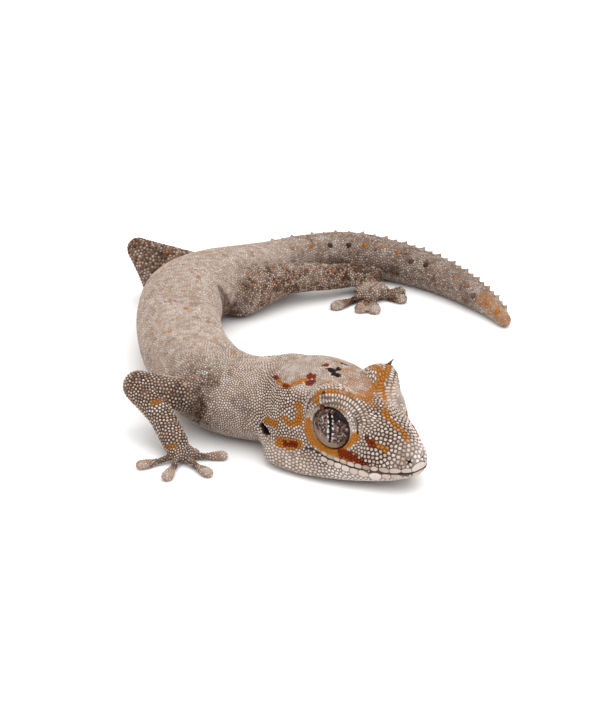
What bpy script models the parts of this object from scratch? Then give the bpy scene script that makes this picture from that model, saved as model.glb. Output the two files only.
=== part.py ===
"""Northern spiny-tailed gecko, life size, resting on the floor with its body bent round in a C.

Sizes are in millimetres, and become metres where a mesh is made. +Z is up, the floor is z = 0, +X runs from
the outer flank of the C towards the tail's tip, and +Y from the snout towards the base of the tail.
"""

import math

import bmesh
import bpy
import numpy as np
from mathutils import Matrix, Vector

MM = 0.001
GAP = 0.3  # clear distance between neighbouring nodes
FLOOR_DEPTH = 6.0  # thickness of the slab that trims everything under the floor

# Head, in its own frame: distances back from the snout's tip, left and right of the midline, and above the
# mouth line. The snout's tip stands over SNOUT, facing HEAD_HEADING degrees from +X.
SNOUT = (12.75, -37.5)
HEAD_HEADING = -48.0
HEAD_PITCH = -3.5
HEAD_ROLL = 2.4
MOUTH_HEIGHT = 2.7
HEAD_LENGTH = 21.2
HEAD_BEND_START, HEAD_BEND = 13.5, 17.0  # where the back of the head starts to turn to the neck, and how far
MOUTH_CORNER = 12.0
MOUTH_GROOVE = 0.32
LIP_ANGLE = 3.0
HEAD_RINGS = 36
# distance back, half width, rise over the mouth line, drop under it, squareness above and below, fullness of
# the jowl
HEAD_PROFILE = (
    (0.0, 0.0, 0.0, 0.0, 2.0, 2.0, 0.0),
    (0.1, 0.95, 1.2, 0.4, 2.0, 2.0, 0.0),
    (0.4, 1.6, 1.95, 0.75, 2.0, 2.1, 0.0),
    (1.3, 2.5, 2.85, 1.3, 2.0, 2.2, 0.0),
    (2.4, 3.12, 3.45, 1.8, 2.0, 2.6, 0.0),
    (4.2, 4.08, 4.3, 2.35, 2.0, 2.9, 0.08),
    (6.6, 5.05, 5.2, 2.85, 2.0, 3.4, 0.15),
    (9.0, 5.75, 5.9, 3.2, 2.05, 3.8, 0.21),
    (12.5, 6.5, 6.8, 3.65, 2.2, 4.2, 0.25),
    (15.5, 7.0, 7.15, 3.85, 2.25, 3.8, 0.24),
    (18.0, 6.9, 7.0, 4.05, 2.2, 3.6, 0.2),
    (21.2, 6.3, 5.95, 4.2, 2.15, 2.6, 0.0),
)

# Eye: the middle of its ball, in the head's frame, its size across and along the line of sight, the swelling
# over it, and the opening and the rim of its lids.
EYE_BACK, EYE_SIDE, EYE_RISE = 9.8, 3.05, 3.15
EYE_RADIUS, EYE_DEPTH = 2.75, 2.7
EYE_TILT, EYE_FORWARD = 9.0, 14.0  # degrees that the eye looks up and forward from straight sideways
SWELLINGS = (
    # distance back, side, rise, radius
    (10.0, 2.95, 3.3, 3.0),
    (10.6, 3.5, 4.8, 2.85),
    (10.4, 4.35, 5.55, 1.9),
)
OPENING_RADIUS = 2.3
LID_THICKNESS, LID_STANDOFF = 0.48, 1.8

# Ear slit and nostril, in the head's frame.
EAR_BACK, EAR_SIDE, EAR_RISE = 18.35, 6.85, 0.15
EAR_SIZE, EAR_LEAN = (0.5, 1.1, 1.05), -25.0
NOSTRIL_BACK, NOSTRIL_SIDE, NOSTRIL_RISE, NOSTRIL_RADIUS = 0.3, 1.1, 1.15, 0.24

# Spines over each eye, in the head's frame: place of the root, way it points, length, radius of its foot.
BROW_SPINES = (
    ((-10.5, 4.9, 7.15), (-0.12, 0.6, 0.65), 1.1, 0.3),
    ((-9.9, 5.85, 6.05), (-0.1, 0.6, 0.2), 0.7, 0.3),
    ((-8.5, 4.7, 5.9), (0.4, 0.5, 0.7), 0.35, 0.3),
)

# Backbone from the back of the head: places over the floor, and the section round each of them.
BACKBONE = (
    # x, y, z, half width, rise, drop
    (-5.0, -21.25, 4.8, 6.1, 4.15, 5.0),
    (-7.8, -20.1, 4.8, 6.0, 4.0, 5.0),
    (-10.6, -17.7, 4.9, 5.55, 4.2, 5.1),
    (-13.0, -12.6, 4.8, 5.3, 4.6, 5.05),
    (-14.9, -4.6, 4.8, 5.2, 4.7, 5.05),
    (-15.5, 3.8, 4.8, 5.2, 4.6, 5.05),
    (-14.6, 11.2, 4.6, 5.1, 4.3, 4.85),
    (-11.7, 16.3, 4.3, 4.7, 3.9, 4.5),
    (-7.7, 19.9, 3.9, 4.2, 3.6, 4.1),
    (-4.2, 23.6, 3.4, 3.3, 3.3, 3.55),
    (-0.2, 27.1, 3.05, 2.95, 3.15, 3.2),
    (5.9, 29.9, 2.8, 2.85, 2.75, 2.95),
    (12.4, 27.3, 2.6, 2.6, 2.4, 2.75),
    (17.95, 22.7, 2.25, 2.2, 2.1, 2.35),
    (21.6, 18.0, 1.8, 1.75, 1.65, 1.85),
    (23.95, 14.2, 1.3, 1.3, 1.15, 1.35),
    (25.5, 10.6, 0.75, 0.75, 0.65, 0.85),
)
TAIL_END_ROUNDING = 0.9
BODY_SIDES = 24
BODY_SQUARENESS = 2.15
RING_SPACING = 1.9
# The nodes of the body, from the head back, and the share of the backbone's length at which each one ends.
BODY_NODES = (
    ("neck", 0.09),
    ("torso_front", 0.23),
    ("torso_middle", 0.36),
    ("torso_rear", 0.48),
    ("hips", 0.59),
    ("tail_base", 0.70),
    ("tail_middle", 0.81),
    ("tail_rear", 0.91),
    ("tail_tip", 1.0),
)

# Spines and cone scales of the back and tail, in one row each side: first and last distance along the
# backbone, spacing at each end, degrees from the top of the back, height at each end, radius at each end.
TAIL_SPINES = (57.2, 94.6, 2.9, 2.2, (-46.0, 38.0), (0.95, 0.7), (0.5, 0.36))
BACK_CONES = (4.0, 54.0, 3.2, 3.4, (-45.0, 27.0), (0.26, 0.36), (0.42, 0.42))
SPINE_SIDES = 5
SPINE_ROOT = 0.55  # how deep the roots go in
END_CLEARANCE = 0.95  # how far a spine keeps from either end of its node

# Legs: joints over the floor with the radius there, and the tips of the digits.
# upper part: root inside the body, its end at the elbow or knee; lower part: from there to the wrist or ankle
LEGS = {
    "foreleg_right": {
        "upper": ((-11.2, -21.2, 4.6, 2.5), (-15.0, -21.8, 5.3, 1.95), (-19.25, -21.6, 6.1, 1.9)),
        "lower": ((-19.25, -21.6, 6.1, 1.9), (-16.45, -24.8, 3.6, 1.55), (-14.9, -27.7, 1.8, 1.55)),
        "palm": (-14.2, -28.8, 1.0, 1.7, 1.5, 1.0),
        "digits": (
            (-12.2, -27.4),
            (-8.75, -28.4),
            (-10.55, -33.7),
            (-15.8, -34.8),
            (-19.3, -31.3),
        ),
    },
    "foreleg_left": {
        "upper": ((-9.4, -16.4, 4.6, 2.2), (-6.2, -13.0, 4.2, 1.8), (-2.6, -10.6, 3.6, 1.7)),
        "lower": ((-2.6, -10.6, 3.6, 1.7), (0.6, -12.6, 2.7, 1.45), (3.6, -14.3, 1.7, 1.2)),
        "palm": (4.7, -14.8, 1.0, 1.5, 1.7, 1.0),
        "digits": (
            (5.4, -18.9),
            (9.2, -16.9),
            (10.2, -13.0),
            (7.4, -9.6),
            (3.4, -10.2),
        ),
    },
    "hindleg_right": {
        "upper": ((-11.6, 18.0, 4.1, 2.5), (-17.2, 20.2, 5.2, 2.15), (-21.3, 21.4, 6.65, 1.5)),
        "lower": ((-21.3, 21.4, 6.65, 1.5), (-19.85, 19.3, 4.1, 1.4), (-19.0, 17.0, 1.8, 1.15)),
        "palm": (-18.9, 18.2, 1.0, 1.5, 1.8, 1.0),
        "digits": (
            (-20.4, 14.2),
            (-20.3, 22.6),
            (-18.9, 25.2),
            (-16.4, 25.0),
            (-14.8, 22.2),
        ),
    },
    "hindleg_left": {
        "upper": ((-8.3, 15.7, 3.4, 3.6), (-1.6, 19.7, 3.35, 2.05), (3.0, 21.4, 2.75, 1.7)),
        "lower": ((3.0, 21.4, 2.75, 1.7), (6.0, 23.2, 2.3, 1.55), (9.0, 24.4, 1.8, 1.15)),
        "palm": (8.6, 21.2, 1.0, 2.3, 2.1, 1.0),
        "digits": (
            (6.8, 15.6),
            (3.3, 16.8),
            (8.9, 15.2),
            (13.1, 19.3),
            (13.0, 22.4),
        ),
    },
}
DIGIT_RADIUS = {"foreleg": 0.55, "hindleg": 0.62}
LIMB_SIDES = 12
DIGIT_SIDES = 8

SKIN = ("skin", (0.56, 0.48, 0.42), 0.75)
LEG_SKIN = ("leg_skin", (0.40, 0.33, 0.28), 0.75)
IRIS = ("iris", (0.36, 0.31, 0.28), 0.15)


def spline(knots, values, at):
    """Smooth values at the places in at, through the values given at the knots."""
    knots = np.asarray(knots, float)
    values = np.asarray(values, float)
    slopes = np.gradient(values, knots, axis=0)
    at = np.clip(np.asarray(at, float), knots[0], knots[-1])
    i = np.clip(np.searchsorted(knots, at, side="right") - 1, 0, len(knots) - 2)
    span = knots[i + 1] - knots[i]
    t = (at - knots[i]) / span
    shape = (-1,) + (1,) * (values.ndim - 1)
    t, span = t.reshape(shape), span.reshape(shape)
    return (
        (2 * t**3 - 3 * t**2 + 1) * values[i]
        + (t**3 - 2 * t**2 + t) * span * slopes[i]
        + (3 * t**2 - 2 * t**3) * values[i + 1]
        + (t**3 - t**2) * span * slopes[i + 1]
    )


def material(finish):
    """The material of that name, made the first time it is asked for."""
    name, colour, roughness = finish
    found = bpy.data.materials.get(name)
    if found:
        return found
    made = bpy.data.materials.new(name)
    made.use_nodes = True
    shader = made.node_tree.nodes["Principled BSDF"]
    shader.inputs["Base Color"].default_value = (*colour, 1.0)
    shader.inputs["Roughness"].default_value = roughness
    return made


def closed_object(name, points, faces, finish=SKIN):
    """An object from points in millimetres, with its faces turned outwards."""
    mesh = bpy.data.meshes.new(name)
    mesh.from_pydata([tuple(p) for p in np.asarray(points) * MM], [], faces)
    made = bmesh.new()
    made.from_mesh(mesh)
    bmesh.ops.recalc_face_normals(made, faces=made.faces)
    made.to_mesh(mesh)
    made.free()
    mesh.materials.append(material(finish))
    obj = bpy.data.objects.new(name, mesh)
    bpy.context.scene.collection.objects.link(obj)
    return obj


def lofted(name, rings, finish=SKIN):
    """A closed tube through rings of equal size, with a flat or pointed cap at each end."""
    rings = np.asarray(rings, float)
    count, sides = rings.shape[:2]
    points = rings.reshape(-1, 3)
    faces = [
        (
            k * sides + j,
            k * sides + (j + 1) % sides,
            (k + 1) * sides + (j + 1) % sides,
            (k + 1) * sides + j,
        )
        for k in range(count - 1)
        for j in range(sides)
    ]
    ends = [rings[0].mean(0), rings[-1].mean(0)]
    first, last = len(points), len(points) + 1
    base = (count - 1) * sides
    faces += [(first, (j + 1) % sides, j) for j in range(sides)]
    faces += [(last, base + j, base + (j + 1) % sides) for j in range(sides)]
    return closed_object(name, np.vstack([points, ends]), faces, finish)


def clear_of_floor(points):
    """The points, with any that are under the floor lifted to it, which leaves a flat to rest on."""
    points = np.array(points)
    points[..., 2] = np.maximum(points[..., 2], 0.0)
    return points


def tapered(name, joints, radii, sides=LIMB_SIDES, finish=SKIN, height=1.0):
    """A closed tube along joints, round at each of them, with its sections lowered by the height factor."""
    joints = np.asarray(joints, float)
    ways = np.gradient(joints, axis=0)
    ways /= np.linalg.norm(ways, axis=1, keepdims=True)
    angles = np.linspace(0, 2 * math.pi, sides, endpoint=False) + math.pi / sides
    rings = []
    for joint, way, radius in zip(joints, ways, radii):
        side = np.cross(way, (0, 0, 1))
        side /= np.linalg.norm(side)
        over = np.cross(side, way)
        rings.append(
            joint
            + np.outer(np.cos(angles) * radius, side)
            + np.outer(np.sin(angles) * radius * height, over)
        )
    return lofted(name, rings, finish)


def limb(name, joints, extra=0.0, finish=SKIN, spacing=1.3):
    """A round-ended tube through joints of x, y, z and radius, made larger all round by extra."""
    joints = np.asarray(joints, float)
    steps = np.linalg.norm(np.diff(joints[:, :3], axis=0), axis=1)
    knots = np.concatenate([[0], np.cumsum(steps)])
    count = max(4, round(knots[-1] / spacing) + 1)
    at = np.linspace(0, knots[-1], count)
    middle = spline(knots, joints, at)
    places, radii = middle[:, :3], middle[:, 3] + extra
    first = (places[1] - places[0]) / np.linalg.norm(places[1] - places[0])
    last = (places[-1] - places[-2]) / np.linalg.norm(places[-1] - places[-2])
    turns = np.radians([80, 55, 28])
    begin = [places[0] - first * radii[0] * math.sin(t) for t in turns]
    end = [places[-1] + last * radii[-1] * math.sin(t) for t in turns[::-1]]
    begin_radii = [radii[0] * math.cos(t) for t in turns]
    end_radii = [radii[-1] * math.cos(t) for t in turns[::-1]]
    return tapered(
        name,
        np.vstack([begin, places, end]),
        np.concatenate([begin_radii, radii, end_radii]),
        finish=finish,
    )


def ellipsoid(name, centre, sizes, turn=Matrix.Identity(3), finish=SKIN, sides=16, rows=8):
    """A closed ellipsoid with those half sizes, turned by a 3 x 3 matrix."""
    turn = np.array(turn)
    heights = np.linspace(-90, 90, rows + 1)[1:-1]
    rings = []
    for height in np.radians(heights):
        around = np.linspace(0, 2 * math.pi, sides, endpoint=False)
        ring = np.stack(
            [
                np.cos(around) * math.cos(height),
                np.sin(around) * math.cos(height),
                np.full(sides, math.sin(height)),
            ],
            axis=1,
        )
        rings.append(ring)
    rings = np.array(rings)
    points = np.vstack([rings.reshape(-1, 3), [(0, 0, -1), (0, 0, 1)]])
    points = (points * np.array(sizes)) @ turn.T + np.array(centre)
    rows_made = len(rings)
    south, north = rows_made * sides, rows_made * sides + 1
    faces = [
        (
            k * sides + j,
            k * sides + (j + 1) % sides,
            (k + 1) * sides + (j + 1) % sides,
            (k + 1) * sides + j,
        )
        for k in range(rows_made - 1)
        for j in range(sides)
    ]
    top = (rows_made - 1) * sides
    faces += [(south, (j + 1) % sides, j) for j in range(sides)]
    faces += [(north, top + j, top + (j + 1) % sides) for j in range(sides)]
    return closed_object(name, points, faces, finish)


def combine(target, others, operation):
    """Joins the others to the target or cuts them from it, then removes them."""
    tools = bpy.data.collections.new("tools")
    bpy.context.scene.collection.children.link(tools)
    for other in others:
        bpy.context.scene.collection.objects.unlink(other)
        tools.objects.link(other)
    modifier = target.modifiers.new("combine", "BOOLEAN")
    modifier.operand_type = "COLLECTION"
    modifier.collection = tools
    modifier.operation = operation
    modifier.solver = "EXACT"
    graph = bpy.context.evaluated_depsgraph_get()
    mesh = bpy.data.meshes.new_from_object(target.evaluated_get(graph))
    target.modifiers.remove(modifier)
    old = target.data
    target.data = mesh
    bpy.data.meshes.remove(old)
    mesh.name = target.name
    for other in others:
        bpy.data.objects.remove(other)
    bpy.data.collections.remove(tools)
    keep_largest(target)
    return target


def keep_largest(obj):
    """Leaves only the object's largest closed surface."""
    made = bmesh.new()
    made.from_mesh(obj.data)
    unseen = set(made.verts)
    pieces = []
    while unseen:
        todo = [unseen.pop()]
        piece = set(todo)
        while todo:
            for edge in todo.pop().link_edges:
                for vert in edge.verts:
                    if vert in unseen:
                        unseen.discard(vert)
                        piece.add(vert)
                        todo.append(vert)
        pieces.append(piece)

    def reach(piece):
        low = [min(v.co[k] for v in piece) for k in range(3)]
        high = [max(v.co[k] for v in piece) for k in range(3)]
        return math.prod(h - b for h, b in zip(high, low))

    pieces.sort(key=reach)
    for piece in pieces[:-1]:
        bmesh.ops.delete(made, geom=list(piece), context="VERTS")
    made.to_mesh(obj.data)
    made.free()


def floor_slab():
    """The space under the floor, as a cutter."""
    reach = 200.0
    corners = [(x, y, z) for x in (-reach, reach) for y in (-reach, reach) for z in (-FLOOR_DEPTH, 0.0)]
    faces = [(0, 1, 3, 2), (4, 6, 7, 5), (0, 4, 5, 1), (2, 3, 7, 6), (0, 2, 6, 4), (1, 5, 7, 3)]
    return closed_object("floor_slab", corners, faces)


# The head.


def head_axes():
    """The directions of the head's forward, left and up."""
    turn = (
        Matrix.Rotation(math.radians(HEAD_HEADING), 3, "Z")
        @ Matrix.Rotation(math.radians(-HEAD_PITCH), 3, "Y")
        @ Matrix.Rotation(math.radians(HEAD_ROLL), 3, "X")
    )
    return np.array(turn)


def eye_centre(side):
    """Centre of an eyeball in the head's frame, with side 1 for the left eye and -1 for the right."""
    return np.array([-EYE_BACK, side * EYE_SIDE, EYE_RISE])


def eye_axis(side):
    """The way that an eye looks, in the head's frame."""
    tilt, forward = math.radians(EYE_TILT), math.radians(EYE_FORWARD)
    return np.array(
        [math.cos(tilt) * math.sin(forward), side * math.cos(tilt) * math.cos(forward), math.sin(tilt)]
    )


def swollen(points, centre, radius, blend=0.5):
    """The points pushed out of a ball, with a soft edge to the swelling."""
    away = points - centre
    distance = np.linalg.norm(away, axis=-1, keepdims=True)
    wanted = blend * np.logaddexp(distance / blend, radius / blend)
    near = distance < radius + 4 * blend
    return np.where(near, centre + away / np.maximum(distance, 1e-6) * wanted, points)


def head_ring_angles():
    """Angles round one section, from the throat up the right side and down the left, with the lips close by."""
    right = [-90, -74, -58, -43, -29, -16, -LIP_ANGLE, 0, LIP_ANGLE, 13, 24, 35, 46, 57, 68, 79, 90]
    left = [180 - a for a in right[-2:0:-1]]
    return np.radians(right + left)


def bent(points):
    """Places of the head's frame moved to follow the turn of its back towards the neck."""
    points = np.asarray(points, float)
    table = np.linspace(0.0, HEAD_LENGTH + 4.0, 231)
    reach = HEAD_LENGTH - HEAD_BEND_START
    yaws = math.radians(HEAD_BEND) * (np.maximum(table - HEAD_BEND_START, 0.0) / reach) ** 2
    step = table[1] - table[0]
    line_x = -np.concatenate([[0.0], np.cumsum(np.cos(yaws[1:]) * step)])
    line_y = -np.concatenate([[0.0], np.cumsum(np.sin(yaws[1:]) * step)])
    back = -points[..., 0]
    yaw = np.interp(back, table, yaws)
    x = np.interp(back, table, line_x) - np.sin(yaw) * points[..., 1]
    y = np.interp(back, table, line_y) + np.cos(yaw) * points[..., 1]
    return np.stack([np.where(back < 0, points[..., 0], x), y, points[..., 2]], axis=-1)


def head_rings():
    """The sections of the head in its own frame, from the snout back."""
    profile = np.array(HEAD_PROFILE)
    knots = np.sqrt(profile[:, 0])
    at = np.linspace(0.12, knots[-1], HEAD_RINGS)
    width, rise, drop, over, under, jowl = spline(knots, profile[:, 1:], at).T
    angles = head_ring_angles()
    across, up = np.cos(angles), np.sin(angles)
    rings = []
    for k, back in enumerate(at**2):
        groove = MOUTH_GROOVE * min(1.0, back / 1.5) if back < MOUTH_CORNER else 0.0
        power = 2 / np.where(up > 0, over[k], under[k])
        side = np.sign(across) * np.abs(across) ** power * width[k]
        side -= np.where(np.abs(up) < 1e-6, np.sign(across) * groove, 0.0)
        side *= 1 + jowl[k] * np.where(up < 0, -4 * up * (1 + up), 0.0)
        height = np.abs(up) ** power * np.where(up > 0, rise[k], -drop[k])
        rings.append(np.stack([np.full(len(angles), -back), -side, height], axis=1))
    rings = np.array(rings)
    for back, out, rise, radius in SWELLINGS:
        for side in (1, -1):
            rings = swollen(rings, np.array([-back, side * out, rise]), radius)
    return bent(rings)


def to_head(points):
    """Points of the head's frame, over the floor."""
    return np.asarray(points) @ head_axes().T + np.array([*SNOUT, MOUTH_HEIGHT])


def facing(axis):
    """A turn that carries +Z onto the axis."""
    return np.array(Vector((0, 0, 1)).rotation_difference(Vector(axis)).to_matrix())


def ring_round(name, centre, axis, radius, thickness, sides=28, around=8):
    """A closed hoop of round section."""
    turn = facing(axis)
    points = []
    for a in np.linspace(0, 2 * math.pi, sides, endpoint=False):
        for b in np.linspace(0, 2 * math.pi, around, endpoint=False):
            reach = radius + thickness * math.cos(b)
            points.append((reach * math.cos(a), reach * math.sin(a), thickness * math.sin(b)))
    faces = [
        (
            k * around + j,
            k * around + (j + 1) % around,
            (k + 1) % sides * around + (j + 1) % around,
            (k + 1) % sides * around + j,
        )
        for k in range(sides)
        for j in range(around)
    ]
    return closed_object(name, np.array(points) @ turn.T + centre, faces)


def spine(root, way, length, radius):
    """A slender closed cone that stands on the root, with its foot sunk in."""
    way = np.asarray(way, float) / np.linalg.norm(way)
    angles = np.linspace(0, 2 * math.pi, SPINE_SIDES, endpoint=False)
    circle = np.stack([np.cos(angles), np.sin(angles), 0 * angles], axis=1) @ facing(way).T
    foot = root - way * SPINE_ROOT + circle * radius
    waist = root + way * length * 0.4 + circle * radius * 0.66
    points = np.vstack([foot, waist, [root + way * length]])
    faces = [tuple(range(SPINE_SIDES))]
    for j in range(SPINE_SIDES):
        k = (j + 1) % SPINE_SIDES
        faces.append((j, k, SPINE_SIDES + k, SPINE_SIDES + j))
        faces.append((SPINE_SIDES + j, SPINE_SIDES + k, 2 * SPINE_SIDES))
    return closed_object("spine", points, faces)


def make_head():
    """The head, with its lids, lips, nostrils and ear slits, and with an open socket for each eye."""
    head = lofted("head", clear_of_floor(to_head(head_rings())))
    lids = [
        ring_round(
            "lid",
            to_head(eye_centre(side) + LID_STANDOFF * eye_axis(side)),
            head_axes() @ eye_axis(side),
            OPENING_RADIUS + 0.8 * LID_THICKNESS,
            LID_THICKNESS,
        )
        for side in (1, -1)
    ]
    combine(head, lids, "UNION")
    cutters = []
    for side in (1, -1):
        axis = head_axes() @ eye_axis(side)
        cutters.append(
            ellipsoid(
                "socket",
                to_head(eye_centre(side)),
                (EYE_RADIUS + GAP, EYE_RADIUS + GAP, EYE_DEPTH + GAP),
                facing(axis),
                sides=28,
                rows=14,
            )
        )
        cutters.append(
            tapered(
                "opening",
                [to_head(eye_centre(side)) + axis * reach for reach in (0.8, 4.0)],
                [OPENING_RADIUS - 0.1, OPENING_RADIUS + 0.3],
                28,
            )
        )
    combine(head, cutters, "DIFFERENCE")
    spines = []
    for root, way, length, radius in BROW_SPINES:
        for side in (1, -1):
            mirror = np.array([1, side, 1])
            spines.append(spine(to_head(root * mirror), head_axes() @ (way * mirror), length, radius))
    combine(head, spines, "UNION")
    cutters = []
    for side in (1, -1):
        ear = to_head(bent(np.array([-EAR_BACK, side * EAR_SIDE, EAR_RISE])))
        lean = Matrix.Rotation(math.radians(HEAD_HEADING + HEAD_BEND * 0.5), 3, "Z")
        tip = Matrix.Rotation(math.radians(EAR_LEAN), 3, "Y")
        cutters.append(ellipsoid("ear", ear, EAR_SIZE, lean @ tip, sides=12, rows=6))
        nostril = to_head(np.array([-NOSTRIL_BACK, side * NOSTRIL_SIDE, NOSTRIL_RISE]))
        cutters.append(ellipsoid("nostril", nostril, [NOSTRIL_RADIUS] * 3, sides=10, rows=6))
    combine(head, cutters, "DIFFERENCE")
    return head


def make_eyes():
    for side, name in ((1, "eye_left"), (-1, "eye_right")):
        ellipsoid(
            name,
            to_head(eye_centre(side)),
            (EYE_RADIUS, EYE_RADIUS, EYE_DEPTH),
            facing(head_axes() @ eye_axis(side)),
            IRIS,
            sides=20,
            rows=10,
        )


# The body and the tail.


class Backbone:
    """The body's middle line and the size of its sections, by distance from the back of the head."""

    def __init__(self):
        width, rise, drop = HEAD_PROFILE[-1][1:4]
        middle, half = (rise - drop) / 2, (rise + drop) / 2
        backs = HEAD_LENGTH + np.array([-2.5, 0.0, GAP])
        inside, rear, start = to_head(bent(np.stack([-backs, 0 * backs, 0 * backs + middle], axis=1)))
        self.first_way = (start - rear) / np.linalg.norm(start - rear)
        joined = [inside, start]
        table = np.array(BACKBONE)
        self.places = np.vstack([joined, table[:, :3]])
        self.sizes = np.vstack([[(width, half, half)] * 2, table[:, 3:]])
        steps = np.linalg.norm(np.diff(self.places, axis=0), axis=1)
        self.knots = np.concatenate([[0], np.cumsum(steps)]) - steps[0]
        self.length = self.knots[-1]

    def place(self, s):
        return spline(self.knots, self.places, s)

    def along(self, s):
        step = 0.05
        way = self.place(np.asarray(s) + step) - self.place(np.asarray(s) - step)
        way /= np.linalg.norm(way, axis=-1, keepdims=True)
        return np.where(np.asarray(s)[:, None] <= 0, self.first_way, way)

    def rings(self, stations, extra=0.0, sides=BODY_SIDES):
        """Sections at those distances, made larger all round by extra."""
        stations = np.asarray(stations, float)
        places, ways = self.place(stations), self.along(stations)
        sizes = spline(self.knots, self.sizes, stations)
        left_over = np.clip((self.length - stations) / TAIL_END_ROUNDING, 0, 1)
        sizes = sizes * np.sqrt(1 - (1 - left_over) ** 2)[:, None] + extra
        angles = np.linspace(0, 2 * math.pi, sides, endpoint=False) + math.pi / sides
        power = 2 / BODY_SQUARENESS
        across = np.sign(np.cos(angles)) * np.abs(np.cos(angles)) ** power
        up = np.sign(np.sin(angles)) * np.abs(np.sin(angles)) ** power
        rings = []
        for place, way, (width, rise, drop) in zip(places, ways, sizes):
            side = np.cross(way, (0, 0, 1))
            side /= np.linalg.norm(side)
            over = np.cross(side, way)
            height = up * np.where(up > 0, rise, drop)
            rings.append(place + np.outer(across * width, side) + np.outer(height, over))
        return np.array(rings)

    def surface(self, s, angle):
        """A place on the body at a distance and an angle from the top, and the way its skin faces there."""
        place, way = self.place([s])[0], self.along([s])[0]
        width, rise, _ = spline(self.knots, self.sizes, [s])[0]
        side = np.cross(way, (0, 0, 1))
        side /= np.linalg.norm(side)
        over = np.cross(side, way)
        across, up = math.sin(math.radians(angle)), math.cos(math.radians(angle))
        power = 2 / BODY_SQUARENESS
        point = place + side * math.copysign(abs(across) ** power, across) * width + over * up**power * rise
        facing_out = side * across / width + over * up / rise
        return point, facing_out / np.linalg.norm(facing_out), way


def clear_of_ends(backbone, s):
    """The distance s, moved where needed so that a spine there doesn't cross into the next node."""
    for _, share in BODY_NODES:
        end = share * backbone.length
        if abs(s - end) < END_CLEARANCE:
            return end + math.copysign(END_CLEARANCE, s - end)
    return s


def row_of_spines(backbone, row, lean):
    """The spines of a pair of rows, each with its distance along the backbone."""
    first, last, spacing_first, spacing_last, angles, heights, radii = row
    made = []
    for number, angle in enumerate(angles):
        s = first + 0.45 * number * spacing_first
        while s < last:
            share = (s - first) / (last - first)
            s = clear_of_ends(backbone, s)
            root, out, way = backbone.surface(s, angle)
            height = np.interp(share, (0, 1), heights)
            radius = np.interp(share, (0, 1), radii)
            made.append((s, spine(root, out + lean * way, height, radius)))
            s += np.interp(share, (0, 1), (spacing_first, spacing_last))
    return made


def make_body(backbone):
    """The neck, torso and tail, each a length of the one tube."""
    begin = 0.0
    spines = row_of_spines(backbone, BACK_CONES, 0.0) + row_of_spines(backbone, TAIL_SPINES, 0.35)
    for name, share in BODY_NODES:
        end = share * backbone.length
        last = name == BODY_NODES[-1][0]
        stop = end - (0.02 if last else GAP)
        count = max(3, round((stop - begin) / RING_SPACING) + 1)
        stations = np.linspace(begin, stop, count)
        if last:
            tip = stop - TAIL_END_ROUNDING * (1 - np.cos(np.linspace(0.5, 0.0, 4) * math.pi))
            stations = np.concatenate([stations[stations < tip[0] - 0.4], tip])
        node = lofted(name, clear_of_floor(backbone.rings(stations)))
        own = [made for s, made in spines if begin <= s < end]
        combine(node, own, "UNION")
        begin = end


# The legs.


def digit(name, base, tip, radius, finish):
    """One digit from the palm to its padded tip, lying on the floor."""
    base, tip = np.array([*base, 0.9]), np.array([*tip, 0.35])
    shares = np.array([0.0, 0.3, 0.55, 0.72, 0.86, 0.95, 1.0])
    radii = np.array([1.15, 0.95, 0.9, 1.25, 1.42, 1.15, 0.55]) * radius
    joints = base + shares[:, None] * (tip - base)
    joints[:, 2] = 0.9 + (0.42 - 0.9) * np.minimum(shares / 0.5, 1.0)
    return tapered(name, joints, radii, DIGIT_SIDES, finish, height=0.8)


def make_leg(name, leg, backbone):
    """One leg: its upper part, its lower part, and its hand or foot."""
    upper = limb(name + "_upper", leg["upper"], finish=LEG_SKIN)
    tube = lofted("tube", backbone.rings(np.linspace(-1.0, backbone.length - 0.05, 90), GAP))
    combine(upper, [tube], "DIFFERENCE")
    lower = limb(name + "_lower", leg["lower"], finish=LEG_SKIN)
    combine(lower, [limb("upper_space", leg["upper"], GAP)], "DIFFERENCE")
    x, y, z, *sizes = leg["palm"]
    foot = ellipsoid(name + "_foot", (x, y, z), sizes, finish=LEG_SKIN, sides=14, rows=7)
    radius = DIGIT_RADIUS[name.split("_")[0]]
    digits = [digit("digit", (x, y), tip, radius, LEG_SKIN) for tip in leg["digits"]]
    combine(foot, digits, "UNION")
    combine(foot, [limb("lower_space", leg["lower"], GAP), floor_slab()], "DIFFERENCE")


def centre_everything():
    """Moves every mesh so that the origin is under the middle of the whole animal, on the floor."""
    meshes = [obj.data for obj in bpy.data.objects if obj.type == "MESH"]
    places = np.array([vert.co[:] for mesh in meshes for vert in mesh.vertices])
    low, high = places.min(0), places.max(0)
    middle = (low + high) / 2
    shift = Matrix.Translation((-middle[0], -middle[1], -low[2]))
    for mesh in meshes:
        mesh.transform(shift)


def main():
    for obj in list(bpy.data.objects):
        bpy.data.objects.remove(obj)
    make_head()
    make_eyes()
    backbone = Backbone()
    make_body(backbone)
    for name, leg in LEGS.items():
        make_leg(name, leg, backbone)
    centre_everything()


main()
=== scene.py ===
"""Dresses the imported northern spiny-tailed gecko: one skin, a coat of bead scales, spines and wet eyes.

Sizes are in millimetres, in the same frame as the part's source, and become metres where a mesh is made.
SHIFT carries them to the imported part's own frame.
"""

import math

import bpy
import numpy as np
from mathutils import Matrix, Vector, noise
from mathutils.bvhtree import BVHTree
from mathutils.kdtree import KDTree


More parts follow.
